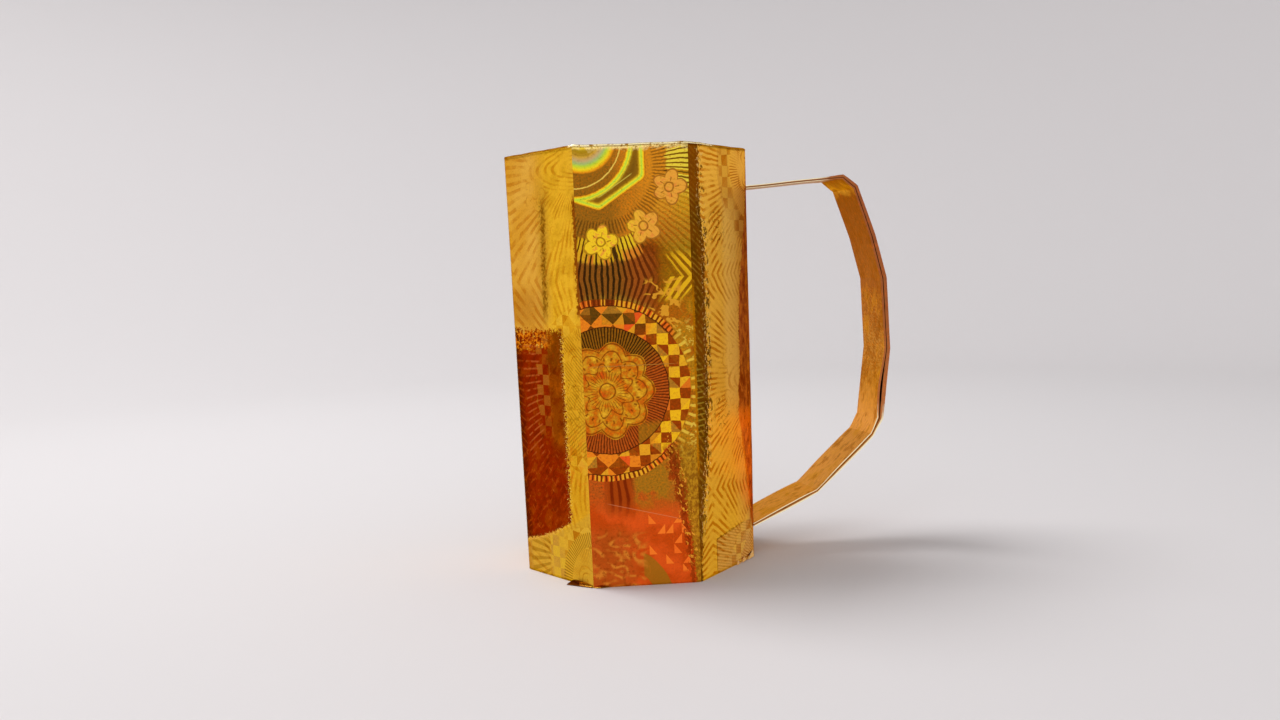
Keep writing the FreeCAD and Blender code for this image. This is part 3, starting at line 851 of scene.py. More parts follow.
class FrontWall(Wall):
    """Front wall, where the foil mirrors the dark and breaks the light up."""

    left = PANEL
    waver = (0.5, 3.0)
    tear = (1.7, 1.6)
    meet = 68.1  # height where the rays of two rows of medallions meet
    bow_middle = (2.2, 98.2, 0)  # middle of the rainbow in the corner by the rim
    line_middle = (0.0, 98.2, 0)  # middle of the thin arc outside it
    leaf_middle = (0.0, 98.0, 0)  # middle of the arc along the leaf
    crease = 49.2  # height of the crease across the sheet

    def add_noises(self):
        net, place = self.net, self.place
        self.fuzz = net.noise(place, 2.2, 3, 0.7)
        self.cloud = net.noise(place, 0.16, 3)
        bent_x, bent_y = ragged(net, place, self.x, self.y, 0.2, 0.9)
        self.motifs = Motifs(net, bent_x, bent_y)
        tear_x = (self.torn_x - self.across) * 0.25
        tear_y = (self.torn_y - self.y) * 0.25
        self.spot = net.vector(self.across + tear_x, self.y + tear_y)
        self.uneven = net.noise(self.spot, 1.6, 3, 0.7)

    def paint(self):
        """Colour of the wall and the relief of its embossing."""
        net, motifs = self.net, self.motifs
        colour = self.rays(self.ground())
        colour = self.medallion(colour)
        colour = self.blossoms(self.curls(colour))
        colour = self.foot(self.leaf(self.rainbow(colour)))
        colour = self.split_edge(colour)
        # Painted highlight along the rim.
        rim = net.rise(self.soft_y, 95.3, 96.4)
        colour = net.mix(rim * net.rise(self.fuzz, 0.36, 0.52), colour, "#f6d888")
        # Pale line along the crease: a painted highlight, with a groove in the relief.
        crease = net.line(self.y - self.crease, 0.11, 0.04) * net.within(self.across, 2, 20, 2)
        colour = net.mix(crease * 0.6, colour, "#e2a048")

        area, lit, own = motifs.checks()
        rose_area, petals = motifs.rosette()
        fine_area, fine = motifs.fine_lines()
        relief = motifs.rays * motifs.beyond * 0.6 + area * lit * own * 0.5
        relief = relief + fine * fine_area * 0.4 + petals * rose_area * 0.5
        return colour, relief + self.fuzz * 0.8 - crease * 1.5

    def ground(self):
        """Ground colours, from the rim down, which are painted reflections in the foil."""
        net, soft_x, soft_y = self.net, self.soft_x, self.soft_y
        blotch = net.rise(self.cloud, 0.4, 0.6)
        upper = net.mix(net.rise(soft_x, 7.0, 12.0), "#98661a", "#c67e1e")
        upper = net.mix(net.rise(soft_x, 12.0, 17.0), upper, "#d88c22")
        upper = net.mix(net.rise(soft_x, 20.0, 23.0), upper, "#d0961e")
        # A red-brown zone at the upper right: painted reflection.
        rust_reflection = net.rise(soft_y, 86.0, 77.0) * net.rise(soft_x, 13, 17)
        upper = net.mix(rust_reflection * 0.7, upper, "#96500e")
        middle = net.mix(net.rise(soft_x, 9.0, 12.5), "#583c12", "#7e3c0c")
        middle = net.mix(net.rise(soft_x, 16.0, 21.0), middle, "#9a6c10")
        middle = net.mix(net.rise(soft_x, 2.2, 0.6), middle, "#8c3008")
        band = net.mix(net.rise(soft_x, 17.5, 20.0), "#96500e", "#b07c18")
        band = net.mix(net.rise(self.cloud, 0.48, 0.6) * 0.75, band, "#a4560f")
        lower = net.mix(net.rise(soft_x, 9.5, 11.5), "#b4561a", "#a4701a")
        lower = net.mix(net.rise(soft_x, 17.0, 20.0), lower, "#ac641c")
        ember = net.rise(self.cloud, 0.46, 0.56) * net.rise(soft_y, 29, 24)
        lower = net.mix(ember * 0.8, lower, "#bc5218")
        foot = net.mix(blotch, "#c4480f", "#e0551a")
        dull = net.rise(soft_x, 12.0, 7.0) * net.rise(soft_y, 15, 10)
        foot = net.mix(dull * 0.7, foot, "#b4541a")

        slant = soft_y + self.across * 0.06 + self.cloud * 8
        ground = net.mix(net.rise(soft_y, 78.0, 74.0), upper, middle)
        ground = net.mix(net.rise(soft_y, 66.0, 60.0), ground, band)
        ground = net.mix(net.rise(soft_y, 33.0, 27.0), ground, lower)
        ground = net.mix(net.rise(slant, 25.5, 19.5), ground, foot)
        # Painted glints and dark specks, fainter towards the foot.
        grain = 0.7 - net.rise(soft_y, 22, 17) * 0.4
        ground = net.tint(net.rise(self.fuzz, 0.45, 0.75) * grain, ground, "#ffc860", "OVERLAY")
        return net.tint(net.rise(self.fuzz, 0.48, 0.25) * grain, ground, "#8a6030")

    def rays(self, colour):
        """Rays: near-black where two rows meet, bright or faint elsewhere; the near-black and dim
        tones are painted reflections of the dark.
        """
        net, motifs, fuzz = self.net, self.motifs, self.fuzz
        own = motifs.ray_chance
        west = net.rise(self.soft_x, 13.0, 9.0)
        dark = net.mix(west, "#5e280a", "#301d09")
        dim = net.mix(west, "#a0521a", "#8e561a")
        dim = net.mix(net.rise(motifs.radius, 21.6, 20.2) * own, dim, "#b08a2c")
        dim = net.mix(net.rise(fuzz, 0.54, 0.66) * 0.55, dim, "#c0661c")
        dim = net.mix(net.rise(fuzz, 0.42, 0.32) * 0.5, dim, "#54240a")
        broken = net.rise(fuzz, 0.34, 0.44) * 0.4 + 0.6
        band = net.within(self.soft_y, 60.5, 73.5, 1.2) * net.rise(self.soft_x, 19, 14)
        band = band * net.rise(motifs.radius, 20.0, 20.3)
        colour = net.mix(band * 0.9, colour, net.mix(motifs.rays * broken, dim, dark))
        return self.low_rays(self.chevrons(self.upper_rays(colour)))

    def upper_rays(self, colour):
        """Faint rays round the upper medallion, and beyond them bright ones, a painted highlight that
        is yellowest to the east.
        """
        net, motifs = self.net, self.motifs
        own = motifs.ray_chance
        upper = motifs.row > 0.5
        faint = motifs.rays * upper * net.within(motifs.radius, 12.0, 15.2, 0.4)
        colour = net.mix(faint * 0.55, colour, "#3e280c")

        radius = motifs.radius + (self.fuzz - 0.5) * 1.6
        east = net.rise(motifs.turn, -0.16, -0.12)
        start = 15.4 - east * 1.0 + own * 0.8
        end = 20.4 + east * 8 + own * 0.8
        bars = net.rise(radius - start, -0.3, 0.3) * net.rise(radius - end, 0.5, -0.5) * upper
        bars = bars * (1 - net.within(motifs.turn, -0.165, -0.05, 0.015) * 0.86)
        gap = net.stripes(motifs.turn * RAYS, 0.36)
        lit = net.mix(own, "#d89a18", "#f6d428")
        tip = net.rise(radius - start, 2.0, 3.6) * net.rise(own, 0.4, 0.7)
        lit = net.mix(tip * 0.8, lit, "#e0702a")
        lit = net.mix(net.rise(own, 0.9, 0.94) * 0.8, lit, "#e88034")
        lit = net.mix(east, lit, "#f4dc44")
        lit = net.mix(net.rise(self.fuzz, 0.44, 0.34) * 0.6, lit, "#c87a1c")
        colour = net.mix(bars * gap * 0.75, colour, "#3c260a")
        return net.mix(bars * (1 - gap) * net.rise(own, 0.12, 0.3) * 0.92, colour, lit)

    def low_rays(self, colour):
        """Dark red rays under the ring."""
        net = self.net
        broad = net.stripes(self.motifs.turn * 84, 0.42, 0.2)
        low = net.within(self.across, 4.0, 10.0, 0.9) * net.rise(self.soft_y, 14.0, 20.0)
        low = low * net.rise(self.y, 25.6, 25.2)
        return net.mix(low * 0.9, colour, net.mix(broad, "#a4400c", "#741e04"))

    def chevrons(self, colour):
        """Bright chevrons where four medallions meet."""
        net, rays = self.net, self.motifs.rays
        inward = self.soft_x + abs(self.soft_y - self.meet) * 0.5
        corner = net.within(self.soft_y, 63.5, 73.0, 1.0) * net.rise(inward, 19.5, 21.0)
        colour = net.mix(corner * rays * 0.4, colour, "#7c4208")
        some = net.rise(self.motifs.ray_chance, 0.1, 0.4)
        return net.mix(corner * (1 - rays) * some, colour, "#eab41e")

    def medallion(self, colour):
        """Dashes, spokes, checks, fine lines and rosette of the medallion."""
        net, motifs, across = self.net, self.motifs, self.across
        half = LATTICE[1] / 2
        here = net.within(self.y, MEDAL[1] - half, MEDAL[1] + half, 0.05)
        east = net.within(motifs.turn, -0.1, 0.1, 0.012) * here
        own = motifs.ray_chance
        dashes = net.within(motifs.radius, RING_OUT, RING_OUT + 1.35, 0.1) * here * (1 - east)
        dash = net.mix(net.rise(own, 0.4, 0.6), "#f2701e", "#f0a828")
        dash = net.mix(net.rise(across, 19.5, 22.0), dash, "#dcae2a")
        colour = net.mix(dashes * 0.85, colour, "#6a2408")
        colour = net.mix((1 - motifs.rays) * dashes * net.rise(own, 0.0, 0.2), colour, dash)
        spokes = net.stripes(motifs.turn * 61, 0.32) * east * net.rise(own, 0.08, 0.16)
        spokes = spokes * net.within(motifs.radius, RING_OUT + 0.2, RING_OUT + 2.0, 0.25)
        colour = net.mix(spokes * 0.85, colour, "#ecc444")

        area, lit, number = motifs.checks()
        checks = net.mix(lit, self.dark_checks(number), self.bright_checks(number))
        colour = net.mix(area * here, colour, checks)
        area, fine = motifs.fine_lines()
        quarter = net.rise(motifs.turn, 0.05, 0.14)
        gap = net.mix(quarter, "#b05218", "#8a5812")
        line = net.mix(quarter, "#6a2a08", "#3a2008")
        colour = net.mix(area * here, colour, net.mix(fine, gap, line))
        olive = net.rise(across, 11.7, 12.1) * net.rise(self.y, 37.5, 35.5) * area
        colour = net.mix(olive * 0.85, colour, "#a06a16")
        area, petals = motifs.rosette()
        rose = net.mix(petals * 0.8, self.rose_gold(), "#7c3a08")
        colour = self.grain(net.mix(area * here, colour, rose), here)
        for radius, share in ((RING_IN, here), (RING_OUT, here * (1 - east))):
            circle = net.line(motifs.radius - radius, 0.17, 0.05)
            colour = net.mix(circle * share * 0.85, colour, "#3a140a")
        return colour

    def bright_checks(self, number):
        """Gold of the bright checks, the facets painted as lit, which are yellower to the right."""
        net = self.net
        light = net.mix(net.rise(self.across, 13, 18), "#ee8420", "#f4b81e")
        light = net.mix(net.rise(number, 0.5, 0.56) * 0.8, light, "#e8a826")
        light = net.mix(net.rise(number, 0.74, 0.8) * 0.8, light, "#d0801c")
        return net.mix(net.rise(number, 0.9, 0.94), light, "#ee5a20")

    def dark_checks(self, number):
        """Brown of the dark checks, the facets painted in shade, which are greener on top."""
        net = self.net
        shade = net.mix(net.rise(self.y, 54, 60), "#96400a", "#64420f")
        shade = net.mix(net.rise(number, 0.55, 0.65) * 0.55, shade, "#a4560f")
        return net.mix(net.rise(number, 0.88, 0.92) * 0.7, shade, "#b8842a")

    def rose_gold(self):
        """Patchy amber of the rosette."""
        net = self.net
        patchy = net.noise(self.place, 0.5, 3, 0.6)
        amber = net.mix(net.rise(patchy, 0.4, 0.6), "#c86a12", "#d29620")
        amber = net.mix(net.rise(patchy, 0.58, 0.7), amber, "#ecb02c")
        return net.mix(net.rise(patchy, 0.38, 0.32) * 0.7, amber, "#d24c12")

    def grain(self, colour, here):
        """Painted glints and dark grain over the medallion."""
        net = self.net
        grain = net.noise(self.place, 1.7, 3, 0.7)
        inside = net.rise(self.motifs.radius - RING_OUT, 1.2, 0.8) * here
        bright = net.rise(grain, 0.5, 0.72) * inside
        colour = net.tint(bright * 0.75, colour, "#ffd488", "OVERLAY")
        return net.tint(net.rise(grain, 0.46, 0.28) * inside * 0.6, colour, "#a46c38")

    def curls(self, colour):
        """Curling golden strokes above and beside the medallion."""
        net, place = self.net, self.place
        outside = net.rise(self.motifs.radius, 20.2, 20.6)
        curls = net.line(net.noise(place, 0.36, 2, 0.4) - 0.47, 0.06, 0.035)
        curls = curls * net.rise(net.noise(place, 0.7, 1), 0.4, 0.44) * outside
        curls = curls * net.within(self.soft_y, 57.0, 67.5, 0.8)
        curls = curls * net.within(self.soft_x, 14.5, 22.5, 0.8)
        colour = net.mix(curls * 0.9, colour, "#e4a02c")
        swirl = net.noise(net.vector(self.soft_x * 1.2, self.soft_y * 1.5), 0.42, 2, 0.5)
        ticks = net.line(swirl - 0.5, 0.045, 0.02) * outside
        ticks = ticks * net.rise(net.noise(place, 0.8, 1), 0.42, 0.47)
        ticks = ticks * net.within(self.soft_y, 26, 58, 2) * net.rise(self.soft_x, 20.3, 21.3)
        return net.mix(ticks * 0.85, colour, "#e6c048")

    def blossoms(self, colour):
        """Golden blossoms below the arcs."""
        net = self.net
        blush = net.noise(self.place, 0.8, 3, 0.65)
        area, lines = self.motifs.blossoms()
        shown = net.rise(self.motifs.turn, 0.02, 0.0)
        fill = net.mix(net.rise(self.across, 8, 17), "#fcd028", "#f0a83c")
        fill = net.mix(net.rise(blush, 0.52, 0.62) * 0.75, fill, "#f0903c")
        fill = net.mix(net.rise(blush, 0.44, 0.34) * 0.7, fill, "#d08a20")
        fill = net.mix(lines * 0.7, fill, "#8a4c0e")
        return net.mix(area * shown, colour, fill)

    def rainbow(self, colour):
        """Rainbow arcs in the corner by the rim."""
        net = self.net
        out = net.away(self.spot, self.bow_middle)
        rainbow = net.ramp(
            out / 7.6,
            (0.0, "#ccaa24"), (0.28, "#e4c030"), (0.4, "#b08818"), (0.52, "#d8a83c"),
            (0.62, "#d0b078"), (0.7, "#b0c478"), (0.77, "#c0dc40"), (0.86, "#fce024"),
            (0.94, "#f49a1c"), (1.0, "#946014"),
        )
        rings = net.stripes(out / 0.9, 0.4) * net.rise(out, 4.6, 3.6)
        rainbow = net.mix(rings * 0.4, rainbow, "#a07c14")
        rainbow = net.tint(net.rise(self.uneven, 0.5, 0.3) * 0.5, rainbow, "#b89058")
        colour = net.mix(net.rise(out, 7.7, 7.3), colour, rainbow)
        thin = net.line(net.away(self.spot, self.line_middle) - 10.6, 0.2, 0.06)
        return net.mix(thin * net.rise(self.across, 13.0, 11.0) * 0.9, colour, "#f8d45c")

    def leaf(self, colour):
        """Bright-edged leaf below the rainbow, bounded by straight sides and an arc."""
        net, across = self.net, self.across
        west = (across + 0.2) * 0.327 + (self.y - 84.9) * 0.945
        east = (across - 5.2) * -0.551 + (self.y - 82.8) * 0.835
        arc = net.away(self.spot, self.leaf_middle) - 12.1
        depth = net.least(west, east, 0.8)
        depth = net.least(depth, 15.5 - across, 1.2)
        depth = net.least(depth, arc, 0.6) + (self.torn_x - across) * 0.12
        leaf = net.ramp(
            (depth + 0.2) / 2.8,
            (0.0, "#7a4008"), (0.07, "#f8a01c"), (0.17, "#fce62c"), (0.28, "#bce444"),
            (0.4, "#fce62c"), (0.5, "#c89820"), (0.6, "#946816"), (1.0, "#7c5414"),
        )
        vein = net.line(east - 2.3, 0.16, 0.05) * net.within(across, 5.4, 12.6, 0.4)
        second = net.line(arc - 1.15, 0.14, 0.05) * net.within(across, 3.0, 13.5, 0.8)
        leaf = net.tint(net.rise(self.uneven, 0.48, 0.3) * 0.6, leaf, "#c09458")
        leaf = net.mix(vein * 0.8, leaf, "#d8c04c")
        leaf = net.mix(second * 0.5, leaf, "#a8bc40")
        return net.mix(net.rise(depth, -0.2, -0.1), colour, leaf)

    def foot(self, colour):
        """Orange foot, with swirls, blotches of painted shade, bright shards and a scratch."""
        net, place, across, y = self.net, self.place, self.across, self.y
        soft_x, soft_y = self.soft_x, self.soft_y
        # A darker red area at the lower left: painted reflection.
        ground = net.rise(soft_x, 14.5, 9.5) * net.rise(soft_y, 15, 11)
        ground = ground * net.rise(net.noise(place, 0.3, 2), 0.36, 0.52)
        colour = net.mix(ground * 0.4, colour, "#a8480e")
        flow = net.noise(net.vector(across * 0.8, y * 1.1), 0.2, 1, 0.4) * 6
        swirls = net.stripes(flow, 0.42, 0.34) * net.within(soft_x, 0.2, 12.5, 1.4)
        swirls = swirls * net.rise(soft_y, 12.8, 10.4) * net.rise(net.noise(place, 0.4, 2), 0.38, 0.56)
        colour = net.mix(swirls * 0.8, colour, "#dc842a")
        # Blotches of painted shade.
        shade_blotches = net.rise(net.noise(place, 1.1, 3, 0.7), 0.52, 0.64) * net.rise(soft_x, 13, 9)
        colour = net.mix(shade_blotches * net.rise(soft_y, 17, 12) * 0.6, colour, "#8e3a0a")
        shards, number = self.shards()
        colour = net.mix(shards * 0.9, colour, net.mix(number, "#f4561a", "#ff8028"))
        scratch = net.line(y - 18.6 + (across - 5) * 0.25, 0.1, 0.03)
        return net.mix(scratch * net.within(across, 4.5, 21, 1) * 0.4, colour, "#eda070")

    def shards(self):
        """Triangles cut from a grid: their area, and each one's own number."""
        net, across = self.net, self.across
        wide = across / 1.9
        high = self.y / 2.3
        column, row = wide.math("FLOOR"), high.math("FLOOR")
        u, v = wide.math("FRACT"), high.math("FRACT")
        number = net.chance(column, row, 11)
        flip = net.chance(row, column, 5) > 0.5
        half = ((u + v) < 0.95) * flip + ((u - v) > 0.05) * (1 - flip)
        many = half * net.rise(number, 0.45, 0.47) * net.within(across, 19.0, 22.8, 0.2)
        few = half * net.rise(number, 0.9, 0.92) * net.within(across, 13.3, 19.0, 0.2)
        return most(many, few) * net.rise(self.y, 2.4, 3.2) * net.rise(self.y, 20, 18), number

    def split_edge(self, colour):
        """Ragged dark red edge that runs down to the foot, olive foil beyond it, and chips; the dark
        red and the olive are painted reflections.
        """
        net, place, across, y = self.net, self.place, self.across, self.y
        torn = net.noise(net.vector(across * 1.2, y * 0.7), 1.1, 3, 0.7)
        below = net.rise(self.soft_y, 33, 29)
        past = self.torn_x - (23.9 - y * 0.055 - y * y * 0.0032)
        olive = net.mix(net.rise(torn, 0.4, 0.6), "#8e5c10", "#c08a1c")
        colour = net.mix(net.rise(past, -0.1, 0.3) * below * 0.9, colour, olive)
        push = (net.noise(place, 0.3, 3, 0.6) - 0.5) * 5 * net.rise(y, 6, 26)
        width = 0.3 + y * 0.036 + (torn - 0.5) * 6
        jag = net.rise(abs(past + 0.5 + push) - width, 0.25, -0.15) * below
        # Dark red of the ragged band: painted reflection.
        red_reflection = net.mix(net.rise(torn, 0.35, 0.65), "#641a02", "#a03c0c")
        colour = net.mix(jag * 0.85, colour, red_reflection)
        chips = net.noise(net.vector(across * 1.3 + y * 0.5, y * 0.8), 0.95, 2, 0.7)
        near = net.line(past, 2.2, 0.8) * net.within(y, 5, 36, 2)
        return net.mix(near * net.rise(chips, 0.58, 0.62) * 0.85, colour, "#f0a430")


def front_foil(colours):
    """Foil of the front wall."""
    material, net, shader = new_material("foil_front")
    colour, relief = FrontWall(net, colours, *sheet_place(net)).paint()
    finish_foil(net, shader, colour, relief, 0.28)
    return material


# ----------------------------------------------------------------------
# Other foil
# ----------------------------------------------------------------------


def plain_foil(name, colour, dark, scale=0.5):
    """Smooth foil with faint creases, for plies and folded edges."""
    material, net, shader = new_material(name)
    place = sheet_place(net)[0]
    cloud = net.noise(place, scale, 3, 0.6)
    shade = net.mix(net.rise(cloud, 0.35, 0.65), colour, dark)
    fine = net.noise(place, 2.0, 3, 0.7)
    finish_foil(net, shader, shade, fine * 0.6 + cloud, 0.32)
    return material


def rim_foil(colours):
    """Foil of the rim fold: gold, and over the front wall pale flecks, a painted highlight."""
    material, net, shader = new_material("foil_rim")
    place = net.node("ShaderNodeTexCoord").sibling("Object")
    depth = net.node("ShaderNodeSeparateXYZ", None, [place]).sibling("Y")
    flecks = net.noise(place, 900.0, 2, 0.7)
    front = net.rise(depth, -21 * MM, -22 * MM)
    colour = net.mix(net.rise(flecks, 0.4, 0.6), colours.gold, colours.amber)
    lit = net.mix(net.rise(flecks, 0.38, 0.46), "#b07c24", "#fff0bc")
    finish_foil(net, shader, net.mix(front, colour, lit), flecks, 0.26)
    return material


def strip_foil(name, stops, hatch, glint=0.0):
    """Foil of the handle strip: colours by distance along it, hatch and patches of
    a given strength, and on a ply's edge a pale line on its outer side, a painted highlight."""
    material, net, shader = new_material(name)
    place, x, y = sheet_place(net)
    cloud = net.noise(place, 0.25, 3, 0.6)
    along = (x + (cloud - 0.5) * 8) / STRIP_RUN
    colour = net.ramp(along, *stops)
    lines = net.stripes((x + y * 0.5 + cloud * 6) / 0.9, 0.4) * net.within(along, 0.42, 0.6, 0.03)
    colour = net.tint(lines * hatch, colour, "#c89058")
    patches = net.noise(net.vector(x * 0.3, y * 0.5, 4), 0.62, 3, 0.62)
    light = net.rise(patches, 0.52, 0.64) * hatch * net.rise(along, 0.36, 0.5)
    colour = net.mix(light * 1.1, colour, "#e0983c")
    colour = net.mix(net.rise(patches, 0.46, 0.36) * hatch, colour, "#93502a")
    streak = net.noise(net.vector(x * 0.26, y * 0.6, 9), 1.0, 3, 0.65)
    colour = net.mix(net.rise(streak, 0.46, 0.36) * hatch * 0.7, colour, "#8a4e24")
    fuzz = net.noise(net.vector(x * 0.5, y * 1.5), 1.6, 3, 0.7)
    grain = net.noise(net.vector(x * 0.3, y * 2.5), 1.2, 3, 0.7)
    # Painted glints and dark specks along the strip.
    colour = net.tint(net.rise(fuzz, 0.48, 0.72) * 0.6, colour, "#ffd8a0", "OVERLAY")
    colour = net.tint(net.rise(grain, 0.5, 0.25) * 0.6, colour, "#a87850")
    ends = net.rise(along, 0.63, 0.68) + net.rise(along, 0.17, 0.14)
    colour = net.mix(net.rise(y, 0.6, 0.45) * ends * glint, colour, "#fff4cc")
    finish_foil(net, shader, colour, fuzz * 0.8 + lines * 0.2, 0.3)
    return material


# ----------------------------------------------------------------------
# Geometry helpers
# ----------------------------------------------------------------------

MERGE = 0.004 * MM  # points closer than this are merged


def new_tree(name, sockets):
    """Geometry tree with a Geometry input and output and these named inputs."""
    tree = bpy.data.node_groups.new(name, "GeometryNodeTree")
    tree.is_modifier = True
    face = tree.interface
    face.new_socket("Geometry", in_out="INPUT", socket_type="NodeSocketGeometry")
    face.new_socket("Geometry", in_out="OUTPUT", socket_type="NodeSocketGeometry")
    for socket_name, kind in sockets:
        face.new_socket(socket_name, in_out="INPUT", socket_type=f"NodeSocket{kind}")
    net = Net(tree)
    source = tree.nodes.new("NodeGroupInput")
    given = {s.name: Value(net, s) for s in source.outputs if s.name}
    return tree, net, given


def end_tree(net, geometry):
    """Realizes instances, sets the material and feeds the tree's output."""
    given = net.tree.nodes["Group Input"]
    solid = net.node("GeometryNodeRealizeInstances", None, {"Geometry": geometry})
    skin = Value(net, given.outputs["Material"])
    dressed = net.node("GeometryNodeSetMaterial", None, {"Geometry": solid, "Material": skin})
    output = net.tree.nodes.new("NodeGroupOutput")
    net.feed(output.inputs[0], dressed)


def run_tree(name, mesh, tree, inputs):
    """Plain mesh that a geometry tree makes from another mesh."""
    carrier = bpy.data.objects.new(name + "_source", mesh)
    bpy.context.scene.collection.objects.link(carrier)
    modifier = carrier.modifiers.new("Nodes", "NODES")
    modifier.node_group = tree
    for item in tree.interface.items_tree:
        if item.in_out == "INPUT" and item.name in inputs:
            modifier[item.identifier] = inputs[item.name]
    graph = bpy.context.evaluated_depsgraph_get()
    made = bpy.data.meshes.new_from_object(carrier.evaluated_get(graph))
    made.name = name
    bpy.data.objects.remove(carrier)
    return made


def add_piece(name, mesh):
    """Puts a finished mesh in the scene as a piece of the cup."""
    piece = bpy.data.objects.new(name, mesh)
    bpy.context.scene.collection.objects.link(piece)
    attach(piece, "root")
    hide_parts("cup")
    return piece


def tidy_mesh(mesh):
    """Merges doubled points and turns every face outwards."""
    work = bmesh.new()
    work.from_mesh(mesh)
    bmesh.ops.remove_doubles(work, verts=work.verts, dist=MERGE)
    bmesh.ops.recalc_face_normals(work, faces=work.faces)
    work.to_mesh(mesh)
    work.free()


def smooth(mesh):
    """Shades a mesh smooth."""
    for face in mesh.polygons:
        face.use_smooth = True


def mesh_of(name, work):
    """Mesh made from a work mesh, which is then freed."""
    mesh = bpy.data.meshes.new(name)
    work.to_mesh(mesh)
    work.free()
    return mesh


def map_sheet(mesh, across, up):
    """Maps a mesh to the sheet by two of its points' coordinates, 0 to 2 for x to z."""
    layer = mesh.uv_layers.new(name="sheet")
    for loop in mesh.loops:
        spot = mesh.vertices[loop.vertex_index].co / MM * UV_PER_MM
        layer.data[loop.index].uv = (spot[across], spot[up])


# ----------------------------------------------------------------------
# Walls
# ----------------------------------------------------------------------

COLUMNS = 18  # faces across one wall
ROWS = 110  # faces up one wall
CREASE_FALL = 2500  # how fast a crease's rounding fades across a wall
RIPPLE = 0.5 * MM  # unevenness of the rim's height
RIPPLE_FALL = 30  # power by which the ripple fades below the rim
WALL_SEED = 3.0  # chooses how each wall bows


def wrap_tree():
    """Tree that wraps a flat sheet round a tapered prism with soft creases."""
    sockets = [
        ("Walls", "Int"), ("Height", "Float"), ("Rim Radius", "Float"), ("Taper", "Float"),
        ("Crease", "Float"), ("Bow", "Float"), ("Seed", "Float"), ("Material", "Material"),
    ]
    tree, net, given = new_tree("wrap_sheet", sockets)
    count = given["Walls"]
    grid = net.node(
        "GeometryNodeMeshGrid", None,
        {"Size X": 1.0, "Size Y": 1.0, "Vertices X": count * COLUMNS + 1, "Vertices Y": ROWS + 1},
    )
    split = net.node("ShaderNodeSeparateXYZ", None, [grid.sibling("UV Map")])
    up = split.sibling("Y")
    along = split * count
    panel = along.math("FLOOR").math("MINIMUM", count - 1)
    share = 0.5 - ((along - panel) * math.pi).math("COSINE") * 0.5

    step = math.tau / count
    start = panel * step - math.pi
    radius = given["Rim Radius"] * (given["Taper"] + (1 - given["Taper"]) * up)
    x = start.math("COSINE") * (1 - share) + (start + step).math("COSINE") * share
    y = start.math("SINE") * (1 - share) + (start + step).math("SINE") * share

    middle = start + step / 2
    arch = share * (1 - share) * 4
    lump = net.noise(net.vector(along + given["Seed"], up * 4), 1.1, 2) - 0.5
    lean = net.chance(panel, given["Seed"], 0) - 0.4
    swell = given["Bow"] * arch * (lean * (up * math.pi).math("SINE") + lump * 1.6)
    width = share.math("MINIMUM", 1 - share)
    round_off = given["Crease"] * (width * width * -CREASE_FALL).math("EXPONENT")
    shift = swell - round_off
    ripple = (net.noise(net.vector(along * 3, given["Seed"]), 1.7, 2) - 0.5) * RIPPLE
    lift = given["Height"] * up + ripple * up ** RIPPLE_FALL
    place = net.vector(
        x * radius + middle.math("COSINE") * shift, y * radius + middle.math("SINE") * shift, lift
    )
    wrapped = net.node("GeometryNodeSetPosition", None, {"Geometry": grid, "Position": place})
    sheet = net.vector((panel + share) * (PANEL * UV_PER_MM), up * given["Height"] / MM * UV_PER_MM)
    mapped = net.node(
        "GeometryNodeStoreNamedAttribute", {"data_type": "FLOAT2", "domain": "CORNER"},
        {"Geometry": wrapped, "Name": "sheet", "Value": sheet},
    )
    end_tree(net, mapped)
    return tree


class FOILCUP_OT_walls(bpy.types.Operator):
    """Wrap the sheet round the cup and give it its thickness"""

    bl_idname = "foilcup.walls"
    bl_label = "Walls"

    def execute(self, context):
        sizes = context.scene.foil_cup
        colours = context.scene.foil_colours
        plain = gold_wall("foil_back", colours, BackWall)
        finishes = [
            gold_wall("foil_left", colours, LeftWall, 3.8, BROAD_RAYS, 0.5),
            front_foil(colours),
            gold_wall("foil_right", colours, RightWall, strength=0.8),
        ]
        finishes += [plain] * (sizes.walls - len(finishes))
        inputs = {
            "Walls": sizes.walls, "Height": sizes.height, "Rim Radius": sizes.rim_radius,
            "Taper": sizes.base_taper, "Crease": sizes.crease, "Bow": sizes.bow,
            "Seed": WALL_SEED, "Material": plain,
        }
        mesh = run_tree("walls", bpy.data.meshes.new("flat"), wrap_tree(), inputs)
        mesh.materials.clear()
        for finish in (*finishes, gold_wall("foil_inside", colours, InsideWall)):
            mesh.materials.append(finish)
        sheet = mesh.uv_layers["sheet"].data
        for face in mesh.polygons:
            middle = sum(sheet[i].uv.x for i in face.loop_indices) / len(face.loop_indices)
            face.material_index = min(int(middle / (PANEL * UV_PER_MM)), sizes.walls - 1)
        tidy_mesh(mesh)
        piece = add_piece("walls", mesh)
        thicken = piece.modifiers.new("Thickness", "SOLIDIFY")
        thicken.thickness = sizes.wall
        thicken.offset = -1
        thicken.material_offset = len(finishes)
        thicken.material_offset_rim = len(finishes)
        smooth(mesh)
        return {"FINISHED"}


# ----------------------------------------------------------------------
# Rim
# ----------------------------------------------------------------------

FOLD_SIDES = 8  # sides of the fold's round profile
FOLD_RADIUS = 0.56  # radius of the fold as a share of the wall's thickness
RIM_BAND = 0.6 * MM  # the walls' top points are within this of the rim


def fold_tree():
    """Tree that sweeps a small round profile along the rim."""
    sockets = [("Radius", "Float"), ("Material", "Material")]
    tree, net, given = new_tree("fold_sweep", sockets)
    path = net.node("GeometryNodeMeshToCurve", None, {"Mesh": given["Geometry"]})
    profile = net.node(
        "GeometryNodeCurvePrimitiveCircle", None,
        {"Resolution": FOLD_SIDES, "Radius": given["Radius"]},
    )
    swept = net.node("GeometryNodeCurveToMesh", None, {"Curve": path, "Profile Curve": profile})
    end_tree(net, swept)
    return tree


